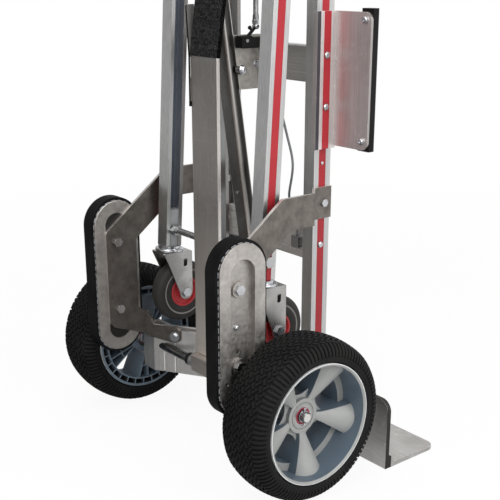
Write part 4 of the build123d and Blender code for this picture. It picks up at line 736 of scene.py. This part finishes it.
def take(piece):
    """Closes what is open and selects one piece alone."""
    start_fresh()
    piece.select_set(True)
    bpy.context.view_layer.objects.active = piece


def apply_place(piece, place=None):
    """Moves a piece, if a place is given, and writes where it stands into its mesh."""
    take(piece)
    if place is not None:
        piece.matrix_world = place
    bpy.ops.object.transform_apply(location=True, rotation=True, scale=True)


def smooth(piece, degrees):
    take(piece)
    bpy.ops.object.shade_smooth_by_angle(angle=radians(degrees))


def pick(piece, wanted, kind="VERT"):
    """Opens a piece with those of its points, edges or faces selected that are wanted."""
    take(piece)
    bpy.ops.object.mode_set(mode="EDIT")
    bpy.ops.mesh.select_mode(type=kind)
    bpy.ops.mesh.select_all(action="DESELECT")
    bpy.ops.object.mode_set(mode="OBJECT")
    mesh = piece.data
    for part in {"VERT": mesh.vertices, "EDGE": mesh.edges, "FACE": mesh.polygons}[kind]:
        part.select = wanted(part)
    bpy.ops.object.mode_set(mode="EDIT")


def pick_all(piece):
    pick(piece, lambda point: True)


def extrude(step):
    bpy.ops.mesh.extrude_region_move(TRANSFORM_OT_translate={"value": step})


def extrude_along(line, side=1.0):
    """Pulls what is selected along a line of (distance along X, radius) points."""
    for (along, radius), (next_along, next_radius) in zip(line, line[1:]):
        extrude((side * (next_along - along), 0.0, next_radius - radius))


def turn_outwards():
    """Turns all faces of the open piece outwards, and closes it."""
    bpy.ops.mesh.select_all(action="SELECT")
    bpy.ops.mesh.normals_make_consistent(inside=False)
    bpy.ops.object.mode_set(mode="OBJECT")


def bar_between(low, high):
    """A bar between two corners."""
    start_fresh()
    low, high = Vector(low), Vector(high)
    bpy.ops.mesh.primitive_cube_add(size=1.0, location=(low + high) / 2)
    bar = bpy.context.object
    bar.scale = high - low
    apply_place(bar)
    return bar


def lathe(outline, centre, steps):
    """Turns an outline of (distance along X, radius) points round the X axis through centre."""
    start_fresh()
    along, radius = outline[0]
    bpy.ops.mesh.primitive_plane_add(size=0.001, location=Vector(centre) + Vector((along, 0.0, radius)))
    piece = bpy.context.object
    pick_all(piece)
    bpy.ops.mesh.merge(type="CENTER")
    extrude_along(outline)
    bpy.ops.mesh.select_all(action="SELECT")
    bpy.ops.mesh.spin(steps=steps, angle=tau, center=centre, axis=(1.0, 0.0, 0.0))
    bpy.ops.mesh.select_all(action="SELECT")
    bpy.ops.mesh.remove_doubles(threshold=0.00002)
    turn_outwards()
    apply_place(piece)
    return piece


def copy_at(piece, place):
    start_fresh()
    twin = piece.copy()
    twin.data = piece.data.copy()
    scene.collection.objects.link(twin)
    twin.matrix_world = place
    return twin


def mirror_twin(piece):
    twin = copy_at(piece, Matrix.Scale(-1.0, 4, (1.0, 0.0, 0.0)))
    apply_place(twin)
    pick_all(twin)
    turn_outwards()
    return twin


def join(pieces):
    take(pieces[0])
    for piece in pieces:
        piece.select_set(True)
    bpy.ops.object.join()
    apply_place(pieces[0])
    return pieces[0]


def both_sides(piece):
    return join([piece, mirror_twin(piece)])


def hand_to(piece, name, finish, body):
    start_fresh()
    piece.name = name
    piece.data.name = name
    piece.data.materials.clear()
    piece.data.materials.append(finishes[finish])
    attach(piece, body)
    print(name, len(piece.data.polygons), "faces")


print("ready to model")

# %% [markdown]
# ## Tyres
# The tyre is a low, wide one, as on a lawn tractor. Its crown carries small slanted blocks in
# nine columns that lean to and fro, so they read as zigzag rows, and its shoulders carry
# radial ribs. The wall below them is smooth. A bump map could stand for the blocks, but they
# show in the outline of the wheel, so they are modelled. The carcass is an outline turned
# round the axle. One block is a cube with a narrowed top. A row of nine is copied round the
# wheel by an array, and so is one rib on each shoulder.

# %% Tyres
tyre_half = (wheel_high.x - wheel_low.x) / 2
groove_depth = 0.0026
crown_half = 0.032
crown_drop = 0.004
bead_radius = 0.096
seat_radius = 0.0922
carcass_steps = 120
block_size = Vector((0.0046, 0.0112, 0.0044))
block_top = (0.72, 0.86, 1.0)
block_rows = 66
block_columns = 9
column_step = 0.0072
block_lean = radians(33.0)
rib_count = 100
rib_section = (0.0042, 0.0043, 1.0)
rib_slant = radians(135.0)
rib_sink = 0.001
tyre_smooth = 32.0


def crown_at(along):
    """Radius of the tread's top at a distance from the middle of the tyre."""
    return wheel_radius - crown_drop * (along / crown_half) ** 2


def standing(spot, angle, axis="X"):
    """A place at spot, turned about an axis."""
    return Matrix.Translation(spot) @ Matrix.Rotation(angle, 4, axis)


def repeat_round(piece, count, centre):
    """Copies a piece round the X axis through centre, as an array that turns."""
    pivot = bpy.data.objects.new("pivot", None)
    scene.collection.objects.link(pivot)
    pivot.matrix_world = standing(centre, tau / count) @ Matrix.Translation(-centre)
    array = piece.modifiers.new("round", "ARRAY")
    array.count = count
    array.use_relative_offset = False
    array.use_object_offset = True
    array.offset_object = pivot
    bpy.context.view_layer.update()
    take(piece)
    bpy.ops.object.modifier_apply(modifier="round")
    bpy.data.objects.remove(pivot)


shoulder = [(crown_half, crown_at(crown_half) - groove_depth), (tyre_half - 0.0062, wheel_radius - 0.0108),
            (tyre_half - 0.0024, wheel_radius - 0.0165), (tyre_half - 0.0004, wheel_radius - 0.0225),
            (tyre_half - 0.0009, bead_radius + 0.003), (tyre_half - 0.0022, bead_radius),
            (tyre_half - 0.0062, bead_radius - 0.0012), (tyre_half - 0.0062, seat_radius)]
crown = [(step * crown_half / 3, crown_at(step * crown_half / 3) - groove_depth) for step in range(-2, 3)]
outline = [(-along, radius) for along, radius in reversed(shoulder)] + crown + shoulder
carcass = lathe(outline + [outline[0]], wheel_centre, carcass_steps)

block = bar_between(-block_size / 2, block_size / 2)
pick(block, lambda point: point.co.z > 0.0)
bpy.ops.transform.resize(value=block_top, center_override=(0.0, 0.0, block_size.z / 2))
row = []
for column in range(block_columns):
    along = (column - (block_columns - 1) / 2) * column_step
    odd = column % 2
    tilt = 2 * crown_drop * along / crown_half ** 2
    place = (standing(wheel_centre, odd * pi / block_rows)
             @ standing((along, 0.0, crown_at(along) - block_size.z / 2), tilt, "Y")
             @ Matrix.Rotation(block_lean * (1 if odd else -1), 4, "Z"))
    row.append(copy_at(block, place))
bpy.data.objects.remove(block)
tread = join(row)
repeat_round(tread, block_rows, wheel_centre)

rib_line = [(crown_half - 0.0005, crown_at(crown_half) - 0.0008), (tyre_half - 0.0058, wheel_radius - 0.0092),
            (tyre_half - 0.0018, wheel_radius - 0.0150), (tyre_half + 0.0001, wheel_radius - 0.0212)]
ribs = []
for side in (1.0, -1.0):
    start_fresh()
    along, radius = rib_line[0]
    bpy.ops.mesh.primitive_plane_add(size=1.0, rotation=(0.0, side * rib_slant, 0.0),
                                     location=wheel_centre + Vector((side * along, 0.0, radius - rib_sink)))
    rib = bpy.context.object
    rib.scale = rib_section
    apply_place(rib)
    pick_all(rib)
    extrude_along(rib_line, side)
    turn_outwards()
    repeat_round(rib, rib_count, wheel_centre)
    ribs.append(rib)
tyre = join([carcass, tread, *ribs])
smooth(tyre, tyre_smooth)
for piece, side in ((tyre, "right"), (mirror_twin(tyre), "left")):
    hand_to(piece, "tyre_" + side, "tyre_rubber", "wheel_" + side)
    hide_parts("wheel_tyre_" + side)

# %% [markdown]
# ## Climber belts
# A climber's belt is a thin black band with cogs on its inner side, whose cut ends show as a
# row of grey blocks beside the casting. A band like this could be drawn as a curve. Here it is
# a ring, turned and then pulled apart at its middle into two half rings with straight runs
# between them. One cog is modelled and set out along the run: half of the cogs go up the back
# and over the top, and the other half are the same ones turned by half a turn.

# %% Climber belts
belt_shift = Vector((0.0009, 0.0, 0.0))
belt_wider = 0.001
belt_low, belt_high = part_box("climber_belt_right")
belt_middle = (belt_low + belt_high) / 2 - belt_shift
belt_half = (belt_high.x - belt_low.x) / 2 + belt_wider
belt_radius = (belt_high.y - belt_low.y) / 2
straight_half = (belt_high.z - belt_low.z) / 2 - belt_radius
band_thick = 0.0018
belt_back = 0.0028
belt_chamfer = 0.0009
cog_count = 52
cog_rise = 0.0054
cog_proud = 0.0003
cog_share = 0.72
cog_narrow = 0.8
pitch_radius = belt_radius - 0.0045
cog_pitch = (4 * straight_half + tau * pitch_radius) / cog_count
cog_root = belt_radius - band_thick + 0.0002
ring_steps = 46
ring_smooth = 32.0


def ring_outline(start, end, inside, outside, chamfer):
    return [(start, inside), (start, outside - chamfer), (start + chamfer, outside), (end - chamfer, outside),
            (end, outside - chamfer), (end, inside), (start, inside)]


def slot_ring(start, end, inside, outside, chamfer):
    """A turned ring, pulled apart along Z so that it follows the climber's outline."""
    made = lathe(ring_outline(start, end, inside, outside, chamfer), belt_middle, ring_steps)
    for side in (1.0, -1.0):
        pick(made, lambda point: (point.co.z - belt_middle.z) * side > 0.0)
        bpy.ops.transform.translate(value=(0.0, 0.0, side * straight_half))
    smooth(made, ring_smooth)
    return made


def rounded_bar(low, high, rounding):
    """A bar between two corners, with its edges rounded over."""
    bar = bar_between(low, high)
    pick_all(bar)
    bpy.ops.mesh.bevel(offset=rounding, segments=2, affect="EDGES")
    start_fresh()
    return bar


band = slot_ring(-belt_half, belt_half, belt_radius - band_thick, belt_radius + belt_back, belt_chamfer)

cog_half = cog_share * cog_pitch / 2
cog = rounded_bar((-belt_half - cog_proud, -cog_root, -cog_half),
                  (belt_half + cog_proud, cog_rise - cog_root, cog_half), 0.0004)
pick(cog, lambda point: point.co.y > cog_rise - cog_root - 0.001)
bpy.ops.transform.resize(value=(1.0, 1.0, cog_narrow), center_override=(0.0, 0.0, 0.0))
cogs = []
for half_turn in (0.0, pi):
    for step in range(cog_count // 2):
        run = (step + 0.5) * cog_pitch
        bent = max(0.0, run - 2 * straight_half) / pitch_radius
        rise = min(run, 2 * straight_half) - straight_half
        cogs.append(copy_at(cog, standing(belt_middle, half_turn) @ standing((0.0, 0.0, rise), -bent)))
bpy.data.objects.remove(cog)
cogs = join(cogs)
for side, pair in (("right", (band, cogs)), ("left", (mirror_twin(band), mirror_twin(cogs)))):
    hand_to(pair[0], "belt_band_" + side, "belt_rubber", "frame")
    hand_to(pair[1], "belt_cogs_" + side, "cog_rubber", "frame")
    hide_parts("climber_belt_" + side)
print("cogs", cog_count, "pitch", round(cog_pitch * 1000, 2), "mm")

# %% [markdown]
# The inner faces of the climbers are cast with a low rim round the place where the strap is
# bolted. The rim is another ring that is pulled apart, sunk a hair into the casting's face.

# %% Climber rims
rim_width = 0.0200
rim_height = 0.0013
rim_sink = 0.0002
rim_face = housing_low.x - belt_middle.x
rim_outside = housing_radius - rim_sink
rim = slot_ring(rim_face - rim_height, rim_face + rim_sink, rim_outside - rim_width, rim_outside, 0.0006)
hand_to(both_sides(rim), "climber_rims", "cast_aluminium", "frame")

# %% [markdown]
# ## Centre strut
# The strut is a drawn tube whose long edges are well rounded, and it leans back. It could be
# swept along a slanted line. Here it starts as an upright bar with its long edges bevelled,
# because upright edges are easy to pick. Its foot is inset and pushed up for the hollow, and
# only then does it lean.

# %% Centre strut
strut_low, strut_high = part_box("centre_strut")
strut_lean = radians(8.57)
strut_deep = 0.0185
strut_wall = 0.0025
strut_round = 0.0062
strut_hollow = 0.06
strut_rear = -0.0717
strut_half = (strut_high.x - strut_low.x) / 2
strut_long = (strut_high.z - strut_low.z - strut_deep * sin(strut_lean)) / cos(strut_lean)
strut = bar_between((-strut_half, 0.0, 0.0), (strut_half, strut_deep, strut_long))
levels = [point.co.z for point in strut.data.vertices]
pick(strut, lambda edge: levels[edge.vertices[0]] != levels[edge.vertices[1]], "EDGE")
bpy.ops.mesh.bevel(offset=strut_round, segments=6, affect="EDGES")
pick(strut, lambda point: point.co.z < strut_wall)
bpy.ops.mesh.inset(thickness=strut_wall)
extrude((0.0, 0.0, strut_hollow))
apply_place(strut, standing((0.0, strut_rear, strut_low.z), strut_lean))
smooth(strut, 32.0)
hand_to(strut, "strut_tube", "strut_aluminium", "frame")
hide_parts("centre_strut")

# %% [markdown]
# ## Foot lever's trim
# The grit pad is folded over both edges of the lever. On its far side stands a thin plate that
# rises a little above the pad, with a dark edging and a clip at its foot. All of it swings with
# the lever. One skirt is modelled flat, bent back with the pad and mirrored. The plate widens
# upwards, so its top is pulled up from a bar and then spread.

# %% Foot lever's trim
lever_half = lever_high.x
lever_rear = lever_low.y
bend_level = 0.632
bend_angle = radians(8.5)
skirt_thick = 0.0015
trim_sink = 0.0002
skirt = rounded_bar((lever_half - trim_sink, -0.0015, 0.0012),
                    (lever_half + skirt_thick, 0.0062, 0.0855), 0.0004)
apply_place(skirt, standing((0.0, lever_rear, bend_level), -bend_angle))
hand_to(both_sides(skirt), "pad_skirts", "pad_grit", "foot_lever")

plate_half = Vector((0.00085, 0.003))
plate_x = -lever_half - 0.0024
plate_y = lever_rear + 0.002
plate_foot = 0.556
plate_top = 0.708
plate_spread = 2.4
plate_round = 0.004
plate = bar_between((plate_x - plate_half.x, plate_y - plate_half.y, plate_foot),
                    (plate_x + plate_half.x, plate_y + plate_half.y, bend_level))
pick(plate, lambda point: point.co.z > bend_level - 0.001)
extrude((0.0, 0.0, plate_top - bend_level))
bpy.ops.transform.resize(value=(1.0, plate_spread, 1.0), center_override=(plate_x, plate_y, plate_top))
pick(plate, lambda point: point.co.z > plate_top - 0.001 and point.co.y < lever_rear)
bpy.ops.mesh.bevel(offset=plate_round, segments=5, affect="EDGES")
spacer = rounded_bar((plate_x + trim_sink, lever_rear + 0.0005, 0.60),
                     (-lever_half + trim_sink, lever_rear + 0.0045, 0.63), 0.0003)
hand_to(join([plate, spacer]), "lever_side_plate", "side_plate_aluminium", "foot_lever")

start_fresh()
bpy.ops.mesh.primitive_plane_add(size=1.0, location=(plate_x, lever_rear - 0.0015, plate_foot))
edging = bpy.context.object
edging.scale = (0.0021, 0.0014, 1.0)
apply_place(edging)
pick_all(edging)
for rise, back in ((bend_level - plate_foot, 0.0), (plate_top - bend_level - plate_round, -0.0041),
                   (0.003, 0.0013)):
    extrude((0.0, back, rise))
turn_outwards()
edge_clip = rounded_bar((plate_x - 0.0014, lever_rear - 0.0024, plate_foot),
                        (plate_x + 0.0014, lever_rear + 0.003, plate_foot + 0.008), 0.0005)
hand_to(join([edging, edge_clip]), "lever_edging", "black_plastic", "foot_lever")

# %% [markdown]
# ## Axle ends
# Outside each wheel a thin washer and a dark spring clip sit on the axle, and a split pin goes
# through it. The washer is small enough to leave the red seal of the bearing in sight. Inside
# the wheel a spacer tube keeps the hub off the beam. The rings are turned. The split pin is a
# small cylinder whose two ends are pulled out and bent over.

# %% Axle ends
axle_line = Vector((0.0, wheel_centre.y, wheel_centre.z))
axle_bore = 0.0081
bearing_low, bearing_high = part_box("wheel_bearings_right")
retainer_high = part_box("axle_retainers")[1]
beam_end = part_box("axle_beam")[1].x
pin_x = 0.2393
pin_radius = 0.0012
pin_half = retainer_high.z - axle_line.z - 0.0022


def cylinder(corners, radius, foot, top, place=(0.0, 0.0, 0.0)):
    """An upright cylinder between two levels, at a place."""
    start_fresh()
    middle = Vector((0.0, 0.0, (foot + top) / 2))
    bpy.ops.mesh.primitive_cylinder_add(vertices=corners, radius=radius, depth=top - foot,
                                        location=Vector(place) + middle)
    made = bpy.context.object
    apply_place(made)
    return made


# start and end along X, outer radius, chamfer: washer, spacer tube, spring clip
axle_rings = ((bearing_high.x + 0.0015, bearing_high.x + 0.0025, 0.0094, 0.0002),
              (beam_end, bearing_low.x - 0.0005, 0.013, 0.0008),
              (bearing_high.x + 0.0001, bearing_high.x + 0.0014, 0.0102, 0.0002))
washer, tube, spring_clip = [lathe(ring_outline(start, end, axle_bore, outside, chamfer), axle_line, 32)
                             for start, end, outside, chamfer in axle_rings]
split_pin = cylinder(12, pin_radius, -pin_half, pin_half, (pin_x, axle_line.y, axle_line.z))
for end, bent in ((1.0, 0.0012), (-1.0, -0.0014)):
    pick(split_pin, lambda face: face.normal.z * end > 0.9, "FACE")
    extrude((0.0, bent, end * 0.0012))
    extrude((0.0, 2 * bent, end * 0.0006))
    bpy.ops.mesh.inset(thickness=pin_radius * 0.4)
hardware = join([washer, tube, split_pin])
smooth(hardware, 40.0)
hardware = both_sides(hardware)
hand_to(hardware, "axle_hardware", "zinc_plate", "frame")
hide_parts("axle_retainers")
hand_to(both_sides(spring_clip), "axle_clips", "clip_steel", "frame")

# %% [markdown]
# ## Release rod and trigger
# The rod that comes down from the hand lever ends in an eye on a nut. Beside it a small ball
# stands on a stalk, which a finger can reach to trip the latch without the hand lever, and a
# slim arm joins the two. Rod, nut and eye ride on the rod's body; arm, stalk and ball turn with
# the trigger. All but the arm are round, so they are turned from their outlines, and a nut is
# an outline turned in six steps.

# %% Release rod and trigger
rod_low, rod_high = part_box("release_rod")
rod_x = (rod_low.x + rod_high.x) / 2
rod_y = (rod_low.y + rod_high.y) / 2
eye_radius = (rod_high.y - rod_low.y) / 2
rod_radius = 0.004
rod_foot = Vector((rod_x, rod_y, rod_low.z + eye_radius))
rod_head = Vector((rod_x, rod_y, rod_high.z - eye_radius))
upwards = Vector((0.0, 0.0, 1.0))


def facing(spot, direction, along="Z", up="Y"):
    """A place at spot, with one axis of the piece along direction."""
    return Matrix.Translation(spot) @ Vector(direction).to_track_quat(along, up).to_matrix().to_4x4()


def turned(outline, spot, direction, steps):
    """Turns an outline as lathe does, then stands it at spot, along direction."""
    piece = lathe(outline, (0.0, 0.0, 0.0), steps)
    apply_place(piece, facing(spot, direction, "X", "Z"))
    return piece


eye_side = [(0.0016, eye_radius), (0.0040, 0.0040), (0.0053, 0.0026), (0.0053, 0.0)]
eye_outline = [(-along, radius) for along, radius in reversed(eye_side)] + eye_side
ends = []
for eye, way_up in ((rod_foot, upwards), (rod_head, -upwards)):
    ends.append(lathe(eye_outline, eye, 24))
    ends.append(turned(ring_outline(0.003, 0.0105, 0.0005, 0.0056, 0.001), eye, way_up, 6))
rod_ends = join(ends)
smooth(rod_ends, 35.0)
hand_to(rod_ends, "rod_ends", "zinc_plate", "release_rod")
span = rod_head.z - rod_foot.z
collar = [(0.0085, 0.0), (0.0085, 0.0048), (0.015, 0.0048), (0.018, rod_radius)]
outline = collar + [(span - along, radius) for along, radius in reversed(collar)]
rod = turned(outline, rod_foot, upwards, 24)
smooth(rod, 35.0)
hand_to(rod, "rod_shaft", "rod_steel", "release_rod")
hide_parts("release_rod")

trigger_pivot = Vector((rod_x, -0.096, 0.656))
arm_way = rod_foot - trigger_pivot
arm_half = Vector((0.0022, 0.002))
arm = rounded_bar((-arm_half.x, -arm_half.y, 0.0), (arm_half.x, arm_half.y, arm_way.length), 0.0006)
apply_place(arm, facing(trigger_pivot, arm_way))
ball_place = Vector((rod_x, -0.0856, 0.6742))
ball_radius = 0.0031
ball_from = radians(150.0)
ball_steps = 8
stalk_foot = Vector((rod_x, -0.0815, 0.6672))
stalk_long = (ball_place - stalk_foot).length
stalk_outline = [(0.0, 0.0), (0.0, 0.0013), (stalk_long - ball_radius * 0.9, 0.0012)]
for step in range(1, ball_steps):
    turn = ball_from * (1 - step / ball_steps)
    stalk_outline.append((stalk_long + ball_radius * cos(turn), ball_radius * sin(turn)))
stalk_outline.append((stalk_long + ball_radius, 0.0))
stalk = turned(stalk_outline, stalk_foot, ball_place - stalk_foot, 18)
trigger = join([arm, stalk])
smooth(trigger, 40.0)
hand_to(trigger, "trigger_ball", "black_plastic", "latch_trigger")
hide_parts("latch_trigger")
print("rod", round(span * 1000), "mm between its eyes")

# %% [markdown]
# ## Screws and rivets
# Small fasteners are modelled once, standing up from the floor at the origin, and copied to
# their places. A button head is a cylinder whose top is inset twice, raised into a dome and
# sunk into a socket. A hex head stands on a washer. A rivet is a flat dome. Most of them come
# in pairs, so a place is written once, for the right side.

# %% Screws and rivets


def button_head(radius, height, socket):
    head = cylinder(24, radius, 0.0, height)
    pick(head, lambda point: point.co.z > height / 2)
    bpy.ops.mesh.inset(thickness=radius * 0.22, depth=height * 0.35)
    bpy.ops.mesh.inset(thickness=radius * 0.3, depth=height * 0.15)
    if socket:
        bpy.ops.mesh.inset(thickness=radius * 0.08, depth=0.0)
        extrude((0.0, 0.0, -height * 0.8))
    smooth(head, 40.0)
    return head


def hex_head(radius, height):
    discs = []
    # corners, radius, foot, top, and how far the top's edge is rounded
    for corners, wide, foot, top, rounding in ((6, radius, 0.3, 1.0, 0.1),
                                               (28, radius * 1.35, 0.0, 0.3, 0.07)):
        disc = cylinder(corners, wide, height * foot, height * top)
        pick(disc, lambda point: point.co.z > height * (foot + top) / 2)
        bpy.ops.mesh.bevel(offset=height * rounding, segments=2, affect="EDGES")
        discs.append(disc)
    return join(discs)


outwards = Vector((1.0, 0.0, 0.0))
backwards = Vector((0.0, -1.0, 0.0))
beam_slant = Vector((-0.518, -0.855, 0.0))
strut_slant = Vector((0.0, -cos(strut_lean), -sin(strut_lean)))
rivet_rise = 0.095
rivet_place = (-0.002, strut_rear - rivet_rise * sin(strut_lean), strut_low.z + rivet_rise * cos(strut_lean))
socket_screw = button_head(0.0052, 0.0032, True)
small_screw = button_head(0.0036, 0.0022, True)
bracket_bolt = hex_head(0.0040, 0.0036)
hex_bolt = hex_head(0.0066, 0.0052)
rivet = button_head(0.0026, 0.0014, False)
paired = ((socket_screw, (0.192, -0.004, 0.689), backwards),
          (socket_screw, (0.192, -0.004, 0.515), backwards),
          (hex_bolt, (0.105, -0.1453, 0.150), beam_slant), (rivet, (0.1228, -0.0178, 0.4747), outwards),
          (small_screw, (0.175, housing_middle.y - 0.005, 0.268), outwards))
fasteners = [copy_at(rivet, facing(rivet_place, strut_slant)),
             copy_at(bracket_bolt, facing((0.022, -0.066, 0.6195), outwards))]
for side in (1.0, -1.0):
    flip = Vector((side, 1.0, 1.0))
    for pattern, place, way in paired:
        fasteners.append(copy_at(pattern, facing(flip * Vector(place), flip * way)))
for pattern in (socket_screw, small_screw, bracket_bolt, hex_bolt, rivet):
    bpy.data.objects.remove(pattern)
hand_to(join(fasteners), "small_fasteners", "zinc_plate", "frame")
print("fasteners", len(fasteners))

# %% [markdown]
# The beam that carries the axle is drawn with two low beads down each of its slanted faces. A
# bead is a thin bar whose edges are rounded, set on the face and turned to its slant.

# %% Beam beads
bead_long = 0.0560
bead_half = 0.0010
bead_level = 0.1095
bead = rounded_bar((-bead_half, -bead_long / 2, -0.0006), (bead_half, bead_long / 2, 0.0016), 0.0008)
beads = []
for side in (1.0, -1.0):
    flip = Vector((side, 1.0, 1.0))
    for place in (Vector((0.1280, -0.1516, bead_level)), Vector((0.1096, -0.1412, bead_level))):
        beads.append(copy_at(bead, facing(flip * place, flip * beam_slant)))
bpy.data.objects.remove(bead)
hand_to(join(beads), "beam_beads", "bead_aluminium", "frame")

# %% [markdown]
# ## Grips
# The grips on the handle are rubber sleeves with rounded ribs. A bump map could hint at them,
# but they show in the outline of the grip, so that is drawn rib by rib and turned round the bar.

# %% Grips
bar_low, bar_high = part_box("handle_grips")
bar_centre = (0.0, (bar_low.y + bar_high.y) / 2, (bar_low.z + bar_high.z) / 2)
grip_radius = (bar_high.z - bar_low.z) / 2
grip_chamfer = 0.001
grip_margin = 0.003
bar_radius = 0.0112
rib_pitch = 0.0062
# share of a rib's width, and how deep it lies there
rib_shape = ((0.15, 0.0016), (0.35, 0.0016), (0.55, 0.0002), (0.95, 0.0002))
sleeves = []
for start, end in ((bar_low.x, -0.010), (0.049, bar_high.x)):
    ribbed = end - start - 2 * grip_margin
    rib_total = round(ribbed / rib_pitch)
    wide = ribbed / rib_total
    outline = [(start, bar_radius), (start, grip_radius - grip_chamfer), (start + grip_chamfer, grip_radius),
               (start + grip_margin, grip_radius)]
    for rib in range(rib_total):
        left = start + grip_margin + rib * wide
        outline += [(left + wide * part, grip_radius - depth) for part, depth in rib_shape]
    outline += [(end - grip_chamfer, grip_radius), (end, grip_radius - grip_chamfer), (end, bar_radius),
                (start, bar_radius)]
    sleeves.append(lathe(outline, bar_centre, 36))
grips = join(sleeves)
smooth(grips, 50.0)
hand_to(grips, "ribbed_grips", "grip_rubber", "frame")
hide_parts("handle_grips")

# %% [markdown]
# ## Size of the dressed truck
# The bounds of the dressed truck are measured.

# %% Size of the dressed truck
low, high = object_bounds()
